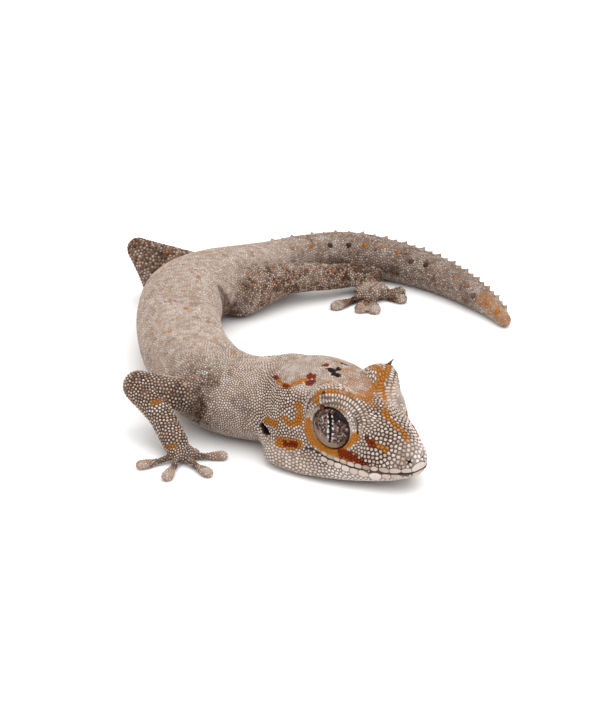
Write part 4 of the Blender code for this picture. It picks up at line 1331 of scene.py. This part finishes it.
def cell_reach(beads, lay, skin, sides):
    """How far each bead reaches on every side of it before it meets its neighbours."""
    to, u, v, away = beads.offsets()
    wide = beads.size * np.sqrt(beads.stretch)
    share = wide[:, None] / (wide[:, None] + wide[beads.near])
    plate, straight, edge = beads.edge_of_plates(to)
    own_plate = (np.arange(len(wide)) < beads.plates)[:, None]
    share = np.where(plate & ~own_plate, np.clip(edge / straight, 0.1, 0.9), share)
    share = np.where(own_plate & ~plate, np.clip(0.5 * wide[:, None] / away, 0.3, 0.85), share)
    back = -lay.local[beads.corner, 0]
    rise = lay.local[beads.corner, 2] - skin.mouth_rise(back)
    on_lip = lay.head[beads.corner] & (np.abs(rise) < 0.9) & (back < MOUTH_CORNER)
    apart = on_lip[:, None] & on_lip[beads.near] & (rise[:, None] * rise[beads.near] < 0)
    share = np.where(apart, 0.86 * share, share)
    toward = np.arctan2(v, u)
    around = ring_angles(sides)[None] + beads.turn[:, None]
    facing = np.cos(around[:, :, None] - toward[:, None, :])
    reach = np.where(facing > 0.2, (share * away)[:, None, :] / np.maximum(facing, 0.2), np.inf).min(2)
    square = 0.5 / np.maximum(np.abs(np.cos(around)) ** 5 + np.abs(np.sin(around)) ** 5, 1e-6) ** 0.2
    reach = np.minimum(reach, np.where(own_plate, 1.04 * square, 0.6) * wide[:, None])
    reach = np.where(own_plate, reach, np.minimum(reach, 1.1 * reach.mean(1, keepdims=True)))
    shrink = 1 - (0.11 * lay.gap + 0.09 * lay.speckle)[beads.corner][:, None]
    return np.where(own_plate, 0.985, shrink) * reach - 0.016


def unwrapped(skin):
    """Each skin point's place on a flat map: every tube is cut along its underside and rolled out."""
    sheets = {"head": (0.01, 0.01, 0.30, 0.98), "body": (0.33, 0.01, 0.30, 0.98)}
    sheets["lid1"] = (0.66, 0.95, 0.15, 0.04)
    sheets["lid-1"] = (0.83, 0.95, 0.15, 0.04)
    for k, leg in enumerate(LEGS):
        left = 0.65 + 0.087 * k
        sheets[leg + "_upper"] = (left, 0.01, 0.08, 0.20)
        sheets[leg + "_lower"] = (left, 0.22, 0.08, 0.20)
        sheets[leg + "_palm"] = (left, 0.43, 0.08, 0.10)
        for j in range(5):
            sheets[f"{leg}_digit{j}"] = (left, 0.54 + 0.08 * j, 0.08, 0.07)
    spots = np.zeros((len(skin.points), 2))
    for number, tube in enumerate(skin.tubes):
        own = skin.owner == number
        if not own.any():
            continue
        left, low, width, height = sheets[tube[0]]
        turn = 0.25 if tube[1] != "head" else 0.0
        spots[own, 0] = left + width * ((skin.around[own] + turn) % 1.0)
        along = skin.along[own]
        spots[own, 1] = low + height * along / max(along.max(), 1e-6)
    return spots


def ground_of(lay, corner, places, chance):
    """The ground colour at the places: how brown, how warm, how greyish and how pale it is."""
    cloud = np.array([noise.noise(Vector(p * 0.42)) for p in places])
    fine = np.array([noise.noise(Vector(p * 1.25 + 40.0)) for p in places])
    depth = lay.depth[corner] + lay.beads[corner] * chance + 0.20 * cloud + 0.14 * fine
    bright = np.interp(chance, (-0.5, -0.2, 0.2, 0.6), (0.26, -0.1, -0.2, -0.46)) + 0.3 * cloud + 0.2 * fine
    depth = depth + lay.speckle[corner] * (bright - lay.beads[corner] * chance)
    warm = np.clip(0.35 + 0.5 * fine + 0.15 * chance, 0, 1)
    grey_and_shade = np.clip(0.2 - 0.6 * cloud, 0, 1)
    return np.stack([np.clip(depth, 0, 1), warm, grey_and_shade, np.zeros(len(corner))], axis=1)


def coloured(lay, laid, corner, places, chance):
    ground = ground_of(lay, corner, places, chance)
    shown = marked(places, laid)
    # Painted shade marks make the ground greyer and darker; the pale marks make it paler, with painted light
    # among them on the snout's right edge.
    ground[:, 2] = np.maximum(ground[:, 2], shown[:, COLOURS["grey_and_shade"]])
    ground[:, 0] = np.clip(ground[:, 0] + 0.45 * shown[:, COLOURS["grey_and_shade"]], 0, 1)
    ground[:, 3] = shown[:, COLOURS["pale"]]
    marks = shown[:, :3] * np.clip(1 + 0.15 * chance, 0, 1.1)[:, None]
    marks[:, 0] = smooth(0.0, 0.85, marks[:, 0])
    marks[:, 1:] = smooth(0.1, 0.6, marks[:, 1:])
    patches = np.array([noise.noise(Vector(p * 1.9 + 90.0)) for p in places])
    tan = lay.speckle[corner] * smooth(0.0, 0.4, patches + 0.15 * chance)
    marks[:, 0] = np.maximum(marks[:, 0], 0.34 * tan)
    marks[:, 1] = np.maximum(marks[:, 1], 0.14 * tan)
    marks = np.concatenate([marks, lay.gap[corner][:, None]], axis=1)
    return ground, np.clip(marks, 0, 1)


# Spines and cones.


# A cone's section: rise over its root and width, as shares of its height and of its foot.
CONE = ((-0.35, 1.0), (0.0, 0.92), (0.18, 0.74), (0.42, 0.48), (0.68, 0.26), (0.88, 0.12))
CONE_SIDES = 12
# Colour of a cone's tip as orange, rust and dark.
TINTS = {
    "orange": np.array([1.0, 0.1, 0.0]),
    "rust": np.array([0.4, 0.8, 0.1]),
    "dark": np.array([0.1, 0.1, 1.0]),
}
# The small spine of the near brow, which points at the viewer, and the red-brown cone on its lid.
NEAR_SPINE, LID_CONE = (323.5, 392.6), (322.4, 407.2)


def horn_list(backbone, skin):
    """Every cone of the coat: root, width of its foot, height, way, and its orange, rust and dark."""
    horns = []
    camera = view_frame()[0]
    for root, way, length, radius in BROW_SPINES:
        way_out = HEAD_AXES @ unit(np.array(way))
        tint = (0.2, 0.4, 0.8) if length > 1 else (0.8, 0.3, 0.1)
        horns.append((to_head(np.array(root)), 2 * radius, length, way_out, tint))
    for place in skin.cast([NEAR_SPINE]):
        toward = unit(unit(camera - place) + 0.25 * (HEAD_AXES @ np.array([-0.1, -0.78, 0.58])))
        horns.append((place, 0.42, 0.8, toward, (0.2, 0.4, 0.9)))
    for place in skin.cast([LID_CONE]):
        for p in (place, other_side(place[None])[0]):
            horns.append((p, 0.62, 0.42, None, (0.3, 0.9, 0.1)))
    for pixel, kind, strength in TAIL_CONES:
        for place in skin.cast([pixel]):
            horns.append((place, 0.8, 0.42, None, TINTS[kind] * strength))
    far = []
    for number, s, root, out, way, height, radius in row_places(backbone, TAIL_SPINES):
        if number == 0:
            kind = ("orange", "orange", "dark")[int(s / 2.6) % 3]
            horns.append((root, 2.7 * radius, 0.72 * height, unit(out + 0.2 * way), TINTS[kind] * 0.14))
            far.append((root, 2.2 * radius, 0.5 * height, unit(out + 0.2 * way), TINTS[kind] * 0.1))
    for one, next_one in zip(far, far[1:]):
        root, foot, height, way, tint = (0.5 * (np.asarray(a) + np.asarray(b)) for a, b in zip(one, next_one))
        horns.append((root, float(foot), float(height), unit(way), tint))
    for pixel, strength in BACK_SPOTS:
        for place in skin.cast([pixel]):
            horns.append((place, 0.62, 0.2, None, TINTS["orange"] * strength))
    for _, _, root, out, _, height, radius in row_places(backbone, BACK_CONES):
        if out @ unit(camera - root) < 0.1:
            horns.append((root, 1.4 * radius, 0.7 * height, out, TINTS["orange"] * 0.6))
    return horns


def horn_mesh(horns, skin, lay, spots):
    """The cones as one mesh of the same kind as the beads'."""
    around = ring_angles(CONE_SIDES)
    roots, faces_at = skin.snapped(np.array([horn[0] for horn in horns]))
    normals = smooth_normals(skin, faces_at, roots)
    shares = np.concatenate([np.full(CONE_SIDES, reach) for _, reach in CONE] + [[0.0]])
    spin = np.concatenate([np.tile(around, len(CONE)), [0.0]])
    patch = PATCH_RADIUS * shares[:, None] * np.stack([np.cos(spin), np.sin(spin)], axis=1)
    # Each cone is painted darker at its foot, the same painted shade as the beads'.
    rises = [np.full(CONE_SIDES, 0.75 if rise > 0 else 0.2) for rise, _ in CONE] + [np.ones(1)]
    points, grounds, marks, places = [], [], [], []
    for horn, root, normal, face in zip(horns, roots, normals, faces_at):
        _, foot, height, way, tint = horn
        way = normal if way is None else np.asarray(way)
        side = unit(np.cross(way, (0.21, 0.43, 0.88)))
        circle = np.outer(np.cos(around), side) + np.outer(np.sin(around), np.cross(way, side))
        back = unit(way - normal * 0.999) if way @ normal < 0.98 else 0 * way
        for rise, reach in CONE:
            bend = (way - normal + 0.25 * back) * height * max(rise, 0) ** 1.6
            points.append(root + normal * height * rise + bend + circle * reach * foot / 2)
        points.append((root + (way + 0.25 * back) * height)[None])
        corner = skin.triangles[face][0]
        ground = ground_of(lay, np.array([corner]), root[None], np.zeros(1))[0]
        grounds.append(np.tile(ground, (len(shares), 1)))
        marks.append(np.tile([*np.clip(tint, 0, 1), 0.6], (len(shares), 1)))
        places.append(spots[corner] + patch)
    starts = np.arange(len(horns)) * len(shares)
    triangles = dome_faces(len(CONE), CONE_SIDES)[None] + starts[:, None, None]
    return (
        np.vstack(points),
        triangles.reshape(-1, 3),
        np.tile(np.concatenate(rises), len(horns)),
        np.vstack(grounds),
        np.vstack(marks),
        np.vstack(places),
    )


def hide_piece(name, material, points, triangles, rise, ground, marks, places):
    """A shown piece with the values that the hide's colours are mixed by, and its places on the flat map."""
    mesh = quick_mesh(name, points, triangles)
    mesh.attributes.new("rise", "FLOAT", "POINT").data.foreach_set("value", rise.astype(np.float32))
    for label, values in (("ground", ground), ("marks", marks)):
        layer = mesh.attributes.new(label, "FLOAT_COLOR", "POINT")
        layer.data.foreach_set("color", values.astype(np.float32).ravel())
    layer = mesh.uv_layers.new(name="OFBake")
    layer.data.foreach_set("uv", places[triangles.ravel()].astype(np.float32).ravel())
    return shown(name, mesh, material)


def joined(parts):
    """Several sets of points, triangles, values and places as one."""
    starts = np.cumsum([0] + [len(part[0]) for part in parts])
    triangles = np.vstack([part[1] + start for part, start in zip(parts, starts)])
    points, *values = (np.concatenate([part[k] for part in parts]) for k in (0, 2, 3, 4, 5))
    return points, triangles, *values


# The eyes.

PUPIL_TOP, PUPIL_BOTTOM = 1.82, -1.66
# Bright lobes beside the pupil, the iris's own silvery lobes with a few painted highlights of the wet eye
# among them near the top of the slit: height of each, how far it stands from the slit's middle, and its
# radius.
LOBES = (
    (1.52, 0.27, 0.13), (1.38, -0.30, 0.13), (1.12, 0.34, 0.10), (0.86, -0.26, 0.15), (0.80, 0.29, 0.12),
    (0.42, -0.24, 0.12), (0.26, 0.29, 0.15), (0.02, -0.30, 0.13), (-0.26, -0.33, 0.17), (-0.40, 0.27, 0.14),
    (-0.72, -0.28, 0.10), (-0.96, -0.24, 0.14), (-0.88, 0.25, 0.12), (1.05, -1.12, 0.12), (1.2, 1.06, 0.09),
    (0.1, -1.0, 0.09), (0.5, 0.85, 0.08), (-0.5, 0.9, 0.07), (-0.2, -0.8, 0.08),
)


def eye_values(front, up):
    """The pupil, the bright lobes on its edge with a few painted highlights among them, the dark rim, and the
    iris's painted shade and light, darker at its upper front and lighter low down, over the eye's face.
    """
    line = 0.50 - 0.10 * up - 0.134 * up * up
    away = front - line
    inside = smooth(PUPIL_TOP + 0.04, PUPIL_TOP - 0.1, up)
    inside = inside * smooth(PUPIL_BOTTOM - 0.04, PUPIL_BOTTOM + 0.1, up)
    width = 0.15 + 0.04 * np.sin(up * 11.0) + 0.12 * smooth(0.5, 1.6, up)
    silver_and_glint = np.zeros(len(front))
    for height, side, radius in LOBES:
        distance = np.hypot(away - side, (up - height) * 0.9)
        silver_and_glint = np.maximum(silver_and_glint, 1 - smooth(radius - 0.08, radius + 0.02, distance))
    pupil = (1 - smooth(width - 0.03, width + 0.04, np.abs(away))) * inside * (1 - 0.9 * silver_and_glint)
    rim = smooth(0.88, 0.95, np.hypot(front / OPENING_LONG, (up + OPENING_DROP) / OPENING_HIGH))
    # Painted shade over the iris's upper front, and painted light over its lower part.
    iris_shade = smooth(0.3, 1.3, up - 0.25 * np.abs(front - 0.9)) * smooth(0.1, 0.7, front)
    pale = smooth(0.5, 2.0, -up - 0.45 * front)
    return pupil, silver_and_glint, rim, 0.5 + 0.5 * iris_shade - 0.5 * pale


def eyeball(side, name, material):
    """A finely divided eyeball that carries the values of its iris."""
    centre, front, up, out = eye_frame(side)
    turns = np.radians(np.concatenate([np.linspace(0.4, 58, 110), np.linspace(62, 178, 24)]))
    around = ring_angles(180)
    t, a = np.meshgrid(turns, around, indexing="ij")
    ball = np.stack([np.sin(t) * np.cos(a), np.sin(t) * np.sin(a), np.cos(t)], axis=-1).reshape(-1, 3)
    ball = np.vstack([ball, [[0, 0, 1.0], [0, 0, -1.0]]])
    local = ball * EYE_RADIUS
    edge = ball_height(EYE_RADIUS, 0.0)
    faces_out = ball_height(local[:, 0], local[:, 1])
    local[:, 2] = np.where(ball[:, 2] > 0, faces_out, edge + 1.1 * local[:, 2])
    points = centre + local @ np.stack([front, up, out])
    rows, sides = len(turns), len(around)
    last = (rows - 1) * sides
    bands = [band(row * sides, (row + 1) * sides, sides)[:, ::-1] for row in range(rows - 1)]
    caps = cap(0, last + sides, sides), cap(last, last + sides + 1, sides)[:, ::-1]
    triangles = np.vstack([*bands, *caps])
    if np.dot(np.cross(front, up), out) < 0:
        triangles = triangles[:, ::-1]
    mesh = quick_mesh(name, points, triangles)
    pupil, silver_and_glint, rim, iris_light_and_shade = eye_values(local[:, 0], local[:, 1])
    front_half = local[:, 2] > 0
    values = np.stack([pupil * front_half, silver_and_glint * front_half, rim, iris_light_and_shade], axis=1)
    layer = mesh.attributes.new("iris", "FLOAT_COLOR", "POINT")
    layer.data.foreach_set("color", np.clip(values, 0, 1).astype(np.float32).ravel())
    return shown(name, mesh, material)


# Finishes.


def paint(red, green, blue):
    """A colour as the shaders need it, from its usual 0 to 255 values."""
    parts = np.array([red, green, blue]) / 255
    parts = np.where(parts <= 0.04045, parts / 12.92, ((parts + 0.055) / 1.055) ** 2.4)
    return (*parts.tolist(), 1.0)


HIDE = {
    "Pale": paint(211, 197, 187),
    "Brown": paint(76, 50, 33),
    "Warm": paint(196, 164, 136),
    # The colour below serves both the random greyness and the painted shade marks.
    "Grey": paint(150, 141, 137),
    "White": paint(226, 216, 210),
    "Orange": paint(166, 102, 22),
    "Rust": paint(112, 35, 4),
    "Dark": paint(32, 9, 3),
    "Gap": paint(54, 30, 17),
}


class Wiring:
    """Adds nodes to a tree and joins them."""

    def __init__(self, tree):
        self.tree = tree

    def node(self, kind, **settings):
        made = self.tree.nodes.new(kind)
        for name, value in settings.items():
            setattr(made, name, value)
        return made

    def join(self, source, target):
        self.tree.links.new(source, target)

    def fed(self, made, sockets, inputs):
        """The node with its sockets set to plain values or joined to others' outputs."""
        for socket, given in zip(sockets, inputs):
            if isinstance(given, (int, float, tuple)):
                socket.default_value = given
            else:
                self.join(given, socket)
        return made

    def value(self, operation, *inputs):
        made = self.node("ShaderNodeMath", operation=operation)
        return self.fed(made, made.inputs, inputs).outputs[0]

    def mixed(self, share, first, second, kind="MIX"):
        made = self.node("ShaderNodeMix", data_type="RGBA", blend_type=kind)
        sockets = made.inputs[0], made.inputs[6], made.inputs[7]
        return self.fed(made, sockets, (share, first, second)).outputs[2]

    def carried(self, name):
        """A value that the mesh's points carry, as its separate parts."""
        made = self.node("ShaderNodeAttribute", attribute_name=name)
        parts = self.node("ShaderNodeSeparateColor")
        self.join(made.outputs["Color"], parts.inputs[0])
        return (*parts.outputs, made.outputs["Alpha"], made.outputs["Fac"])

    def clouds(self, scale, detail=3.0, roughness=0.55):
        places = self.node("ShaderNodeTexCoord")
        made = self.node("ShaderNodeTexNoise")
        made.inputs["Scale"].default_value = scale
        made.inputs["Detail"].default_value = detail
        made.inputs["Roughness"].default_value = roughness
        self.join(places.outputs["Object"], made.inputs["Vector"])
        return made.outputs["Fac"]

    def ranged(self, value, low, high, first=0.0, last=1.0):
        made = self.node("ShaderNodeMapRange", interpolation_type="SMOOTHSTEP")
        return self.fed(made, made.inputs, (value, low, high, first, last)).outputs[0]


def hide_group():
    """The colours of the hide, mixed by the values that its points carry."""
    group = bpy.data.node_groups.new("hide_colours", "ShaderNodeTree")
    for name, colour in HIDE.items():
        socket = group.interface.new_socket(name, in_out="INPUT", socket_type="NodeSocketColor")
        socket.default_value = colour
    group.interface.new_socket("Colour", in_out="OUTPUT", socket_type="NodeSocketColor")
    group.interface.new_socket("Roughness", in_out="OUTPUT", socket_type="NodeSocketFloat")
    group.interface.new_socket("Height", in_out="OUTPUT", socket_type="NodeSocketFloat")
    wiring = Wiring(group)
    given = wiring.node("NodeGroupInput").outputs
    depth, warm, grey_and_shade, white, _ = wiring.carried("ground")
    orange, rust, dark, gap, _ = wiring.carried("marks")
    rise = wiring.carried("rise")[4]
    grain = wiring.clouds(5200.0, 2.0)
    fleck = wiring.clouds(2100.0, 2.0)
    colour = wiring.mixed(warm, given["Pale"], given["Warm"])
    # Greyer by the random greyness and the painted shade marks; paler by the pale marks, painted light among
    # them.
    colour = wiring.mixed(wiring.value("MULTIPLY", grey_and_shade, 0.6), colour, given["Grey"])
    uneven = wiring.value("MULTIPLY_ADD", wiring.value("SUBTRACT", fleck, 0.5), 0.5, depth)
    colour = wiring.mixed(uneven, colour, given["Brown"])
    colour = wiring.mixed(white, colour, given["White"])
    # Orange and rust thin a little towards each bead's top, as part of its painted highlight.
    for name, mark, top in (("Orange", orange, 0.96), ("Rust", rust, 0.95)):
        share = wiring.value("MULTIPLY", mark, wiring.ranged(rise, 0.3, 1.0, 1.0, top))
        colour = wiring.mixed(share, colour, given[name])
    colour = wiring.mixed(dark, colour, given["Dark"])
    # Painted shade down each bead's sides and a painted highlight on its top: the Gap colour of the dark skin
    # between the beads fades out as the rise grows.
    low = wiring.value("MULTIPLY", wiring.ranged(rise, 0.1, 0.92, 1.0, 0.0), gap)
    low = wiring.value("MULTIPLY", low, wiring.value("MULTIPLY_ADD", orange, -0.5, 1.0))
    shade = wiring.mixed(low, (1.0, 1.0, 1.0, 1.0), given["Gap"])
    colour = wiring.mixed(1.0, colour, shade, "MULTIPLY")
    out = wiring.node("NodeGroupOutput").inputs
    wiring.join(colour, out["Colour"])
    wiring.join(wiring.ranged(grain, 0.3, 0.7, 0.5, 0.68), out["Roughness"])
    wiring.join(grain, out["Height"])
    return group


def new_material(name):
    made = bpy.data.materials.new(name)
    made.use_nodes = True
    return made, Wiring(made.node_tree), made.node_tree.nodes["Principled BSDF"]


def hide_material(name, group, grain):
    """A material of the hide, with the strength of its fine grain."""
    made, wiring, shader = new_material(name)
    colours = wiring.node("ShaderNodeGroup", node_tree=group)
    wiring.join(colours.outputs["Colour"], shader.inputs["Base Color"])
    wiring.join(colours.outputs["Roughness"], shader.inputs["Roughness"])
    bump = wiring.node("ShaderNodeBump")
    bump.inputs["Strength"].default_value = grain
    bump.inputs["Distance"].default_value = 0.03 * MM
    wiring.join(colours.outputs["Height"], bump.inputs["Height"])
    wiring.join(bump.outputs[0], shader.inputs["Normal"])
    shader.inputs["Specular IOR Level"].default_value = 0.1
    return made


def eye_material():
    """The iris and pupil under a wet, clear surface, with painted shade and painted light over the iris."""
    made, wiring, shader = new_material("wet_eye")
    pupil, silver_and_glint, rim, iris_light_and_shade, _ = wiring.carried("iris")
    iris_shade = wiring.ranged(iris_light_and_shade, 0.5, 1.0)
    pale = wiring.ranged(iris_light_and_shade, 0.1, 0.5, 1.0, 0.0)
    veins = wiring.clouds(2600.0, 3.0, 0.6)
    curls = wiring.value("ABSOLUTE", wiring.value("SUBTRACT", wiring.clouds(1500.0, 1.0, 0.5), 0.5))
    colour = wiring.mixed(wiring.ranged(veins, 0.38, 0.62), paint(34, 21, 17), paint(106, 83, 71))
    thin = wiring.ranged(curls, 0.012, 0.04, 1.0, 0.0)
    curl = wiring.value("MULTIPLY", thin, wiring.ranged(veins, 0.4, 0.55))
    colour = wiring.mixed(wiring.value("MULTIPLY", curl, 0.65), colour, paint(184, 158, 152))
    # Painted light over the iris's lower part, and painted shade, nearly black, over its upper front.
    colour = wiring.mixed(wiring.value("MULTIPLY", pale, 0.75), colour, paint(146, 124, 106))
    colour = wiring.mixed(wiring.value("MULTIPLY", iris_shade, 0.93), colour, paint(12, 7, 6))
    # The bright lobes, a few of them painted highlights of the wet eye.
    colour = wiring.mixed(silver_and_glint, colour, paint(206, 198, 196))
    colour = wiring.mixed(pupil, colour, paint(4, 3, 3))
    colour = wiring.mixed(rim, colour, paint(34, 12, 8))
    wiring.join(colour, shader.inputs["Base Color"])
    shader.inputs["Roughness"].default_value = 0.4
    shader.inputs["Specular IOR Level"].default_value = 0.05
    shader.inputs["Coat Weight"].default_value = 0.35
    shader.inputs["Coat IOR"].default_value = 1.33
    shader.inputs["Coat Roughness"].default_value = 0.04
    return made


def floor_material():
    made, wiring, shader = new_material("white_floor")
    grain = wiring.clouds(60.0)
    wiring.join(
        wiring.mixed(wiring.ranged(grain, 0.3, 0.7), paint(247, 247, 247), paint(249, 249, 249)),
        shader.inputs["Base Color"],
    )
    shader.inputs["Roughness"].default_value = 0.9
    shader.inputs["Specular IOR Level"].default_value = 0.1
    return made


# The studio.


SENSOR = 36.0  # the camera's, in millimetres
FLOOR_REACH = 3.0  # half the floor's side, in metres
# Name, place, size and power of each soft light, in metres and watts.
LIGHTS = (
    ("main_light", (0.14, -0.42, 0.78), 1.1, 4.3),
    ("top_light", (0.15, 0.25, 0.85), 1.1, 2.8),
)


def studio(shift):
    """The white floor, the soft lights and the camera."""
    mesh = bpy.data.meshes.new("floor")
    corners = [(x * FLOOR_REACH, y * FLOOR_REACH, 0) for x, y in ((-1, -1), (1, -1), (1, 1), (-1, 1))]
    mesh.from_pydata(corners, [], [(0, 1, 2, 3)])
    shown("floor", mesh, floor_material())
    world = bpy.data.worlds.new("studio")
    bpy.context.scene.world = world
    world.use_nodes = True
    sky = world.node_tree.nodes["Background"].inputs
    sky[0].default_value = (1.0, 1.0, 1.0, 1.0)
    sky[1].default_value = 0.98
    for name, place, size, power in LIGHTS:
        light = bpy.data.lights.new(name, "AREA")
        light.shape = "DISK"
        light.size = size
        light.energy = power
        lamp = bpy.data.objects.new(name, light)
        bpy.context.scene.collection.objects.link(lamp)
        lamp.location = place
        lamp.rotation_euler = (-Vector(place)).to_track_quat("-Z", "Y").to_euler()
    camera = bpy.data.cameras.new("camera")
    camera.lens = FOCAL_PIXELS * SENSOR / PICTURE[1]
    camera.sensor_width = SENSOR
    camera.clip_start, camera.clip_end = 0.01, 20.0
    stand = bpy.data.objects.new("camera", camera)
    bpy.context.scene.collection.objects.link(stand)
    place, _, _, _ = view_frame()
    stand.location = Vector((place + shift) * MM)
    stand.rotation_euler = (math.radians(90 - VIEW_RISE), 0, 0)
    bpy.context.scene.camera = stand
    bpy.context.scene.view_settings.view_transform = "Standard"


# Rings of a scale from its foot up: share of its reach, share of its height, and how light the ring is
# painted, which is painted shade down the scale's sides and a painted highlight on its top. The foot lies
# a fixed distance inside the skin.
DOME = ((1.0, -0.05, 0.0), (0.9, 0.30, 0.45), (0.66, 0.72, 0.85), (0.34, 0.94, 1.0))
LOW_DOME = ((1.0, -0.05, 0.0), (0.82, 0.48, 0.6), (0.45, 0.88, 1.0))
PLATE = ((1.0, -0.05, 0.0), (0.97, 0.45, 0.5), (0.88, 0.85, 1.0), (0.5, 0.97, 1.0))
PLATE_SIDES = 28


def grown_beads(skin, lay, laid, horns):
    """The beads, with their heights, turns and colours."""
    beads = Beads(skin, lay, np.array([[*horn[0], 0.8 * horn[1]] for horn in horns]))
    count = len(beads.places)
    plates = slice(0, beads.plates)
    beads.turn = rng.random(count) * 2 * math.pi
    beads.tall = lay.tall[beads.corner] * (1 + rng.normal(0, 0.08, count))
    beads.tall[: beads.fixed] *= 0.75
    beads.tall[plates] *= 0.45
    beads.turn[plates] = 0.0
    beads.ground, beads.marks = coloured(lay, laid, beads.corner, beads.places, rng.normal(0, 1, count))
    beads.marks[plates] *= np.array([0.4, 0.4, 0.4, 0.7])
    beads.ground[plates] += np.array([0.1, 0.0, 0.1, 0.0])
    beads.ground[plates, 3] *= 0.5
    return beads


def skin_piece(skin, lay, laid, spots, material):
    """The skin under the scales, with painted shade in the ears, the nostrils, the mouth, the groove before
    the near eye and the sockets behind the eyes.
    """
    count = len(skin.points)
    ground, marks = coloured(lay, laid, np.arange(count), skin.points, np.zeros(count))
    # Painted shade, in the Dark colour, in the ear slits, the nostrils, the eye groove, the sockets behind
    # the eyes and along the mouth.
    shaded_hollows = np.maximum(skin.pit, smooth(0.9, 1.0, skin.open))
    marks[:, 2] = np.maximum(marks[:, 2], np.maximum(shaded_hollows, 0.85 * lay.mouth))
    # The pits and sockets get no rise, so the painted shade of the Gap colour is at its darkest there.
    rise = np.where(skin.pit + skin.open > 0.3, 0.0, 0.18)
    piece = hide_piece("gecko_skin", material, skin.points, skin.triangles, rise, ground, marks, spots)
    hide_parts(*[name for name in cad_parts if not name.startswith("eye")])
    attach(piece, "root")


def scale_pieces(skin, lay, beads, spots, material):
    """The coat of scales, in one piece for each region of the body."""
    number = np.arange(len(beads.places))
    is_plate = number < beads.plates
    is_cone = (number >= beads.fixed - beads.cones) & (number < beads.fixed)
    grows = ~is_cone & (~lay.bare[beads.corner] | (number < beads.fixed))
    names, kinds = (np.array([tube[k] for tube in skin.tubes])[skin.owner[beads.corner]] for k in (0, 1))
    head, body = kinds == "head", kinds == "body"
    back, s = -lay.local[beads.corner, 0], lay.s[beads.corner]
    regions = {
        "scales_snout": (head & (back < 7.5), 10, DOME, "skin"),
        "scales_face": (head & (back >= 7.5) & (back < 15.0), 10, DOME, "skin"),
        "scales_nape": (head & (back >= 15.0), 10, DOME, "skin"),
        "scales_neck": (body & (s < 13), 9, LOW_DOME, "skin"),
        "scales_shoulders": (body & (s >= 13) & (s < 27), 8, LOW_DOME, "skin"),
        "scales_back": (body & (s >= 27) & (s < 41), 8, LOW_DOME, "skin"),
        "scales_hips": (body & (s >= 41) & (s < 55), 8, LOW_DOME, "skin"),
        "scales_tail": (body & (s >= 55) & (s < 74), 9, LOW_DOME, "skin"),
        "scales_tail_end": (body & (s >= 74), 9, LOW_DOME, "skin"),
        "scales_forelegs": (np.char.startswith(names, "foreleg"), 9, LOW_DOME, "leg_skin"),
        "scales_hindlegs": (np.char.startswith(names, "hindleg"), 8, LOW_DOME, "leg_skin"),
    }
    for name, (own, sides, rings, slot) in regions.items():
        parts = []
        for chosen, edges, shape in (
            (own & grows & ~is_plate, sides, rings),
            (own & grows & is_plate, PLATE_SIDES, PLATE),
        ):
            if chosen.any():
                cells = cell_reach(beads, lay, skin, edges)
                parts.append(bead_mesh(beads, np.flatnonzero(chosen), edges, shape, cells, spots))
        piece = hide_piece(name, material, *joined(parts))
        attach(piece, "root")


def dress():
    backbone = Backbone()
    skin = Skin(backbone)
    laid = laid_marks(skin)
    lay = Lay(skin)
    spots = unwrapped(skin)
    horns = horn_list(backbone, skin)
    beads = grown_beads(skin, lay, laid, horns)
    group = hide_group()
    scale = hide_material("bead_scale", group, 0.15)
    skin_piece(skin, lay, laid, spots, hide_material("soft_hide", group, 0.25))
    scale_pieces(skin, lay, beads, spots, scale)
    spines = hide_piece("spines", scale, *horn_mesh(horns, skin, lay, spots))
    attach(spines, "root")
    wet = eye_material()
    for side, name in ((1, "eye_left"), (-1, "eye_right")):
        ball = eyeball(side, name + "_ball", wet)
        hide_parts(name)
        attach(ball, "root")


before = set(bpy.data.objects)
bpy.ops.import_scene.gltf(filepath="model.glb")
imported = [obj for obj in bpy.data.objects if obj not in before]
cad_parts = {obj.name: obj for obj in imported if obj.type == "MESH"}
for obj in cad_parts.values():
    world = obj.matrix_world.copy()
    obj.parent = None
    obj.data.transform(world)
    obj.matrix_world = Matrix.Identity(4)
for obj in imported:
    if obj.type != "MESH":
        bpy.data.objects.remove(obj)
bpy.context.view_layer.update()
low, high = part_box("eye_left")
SHIFT = np.array((low + high) / 2) / MM - to_head(eye_centre(1))
studio(SHIFT)
dress()
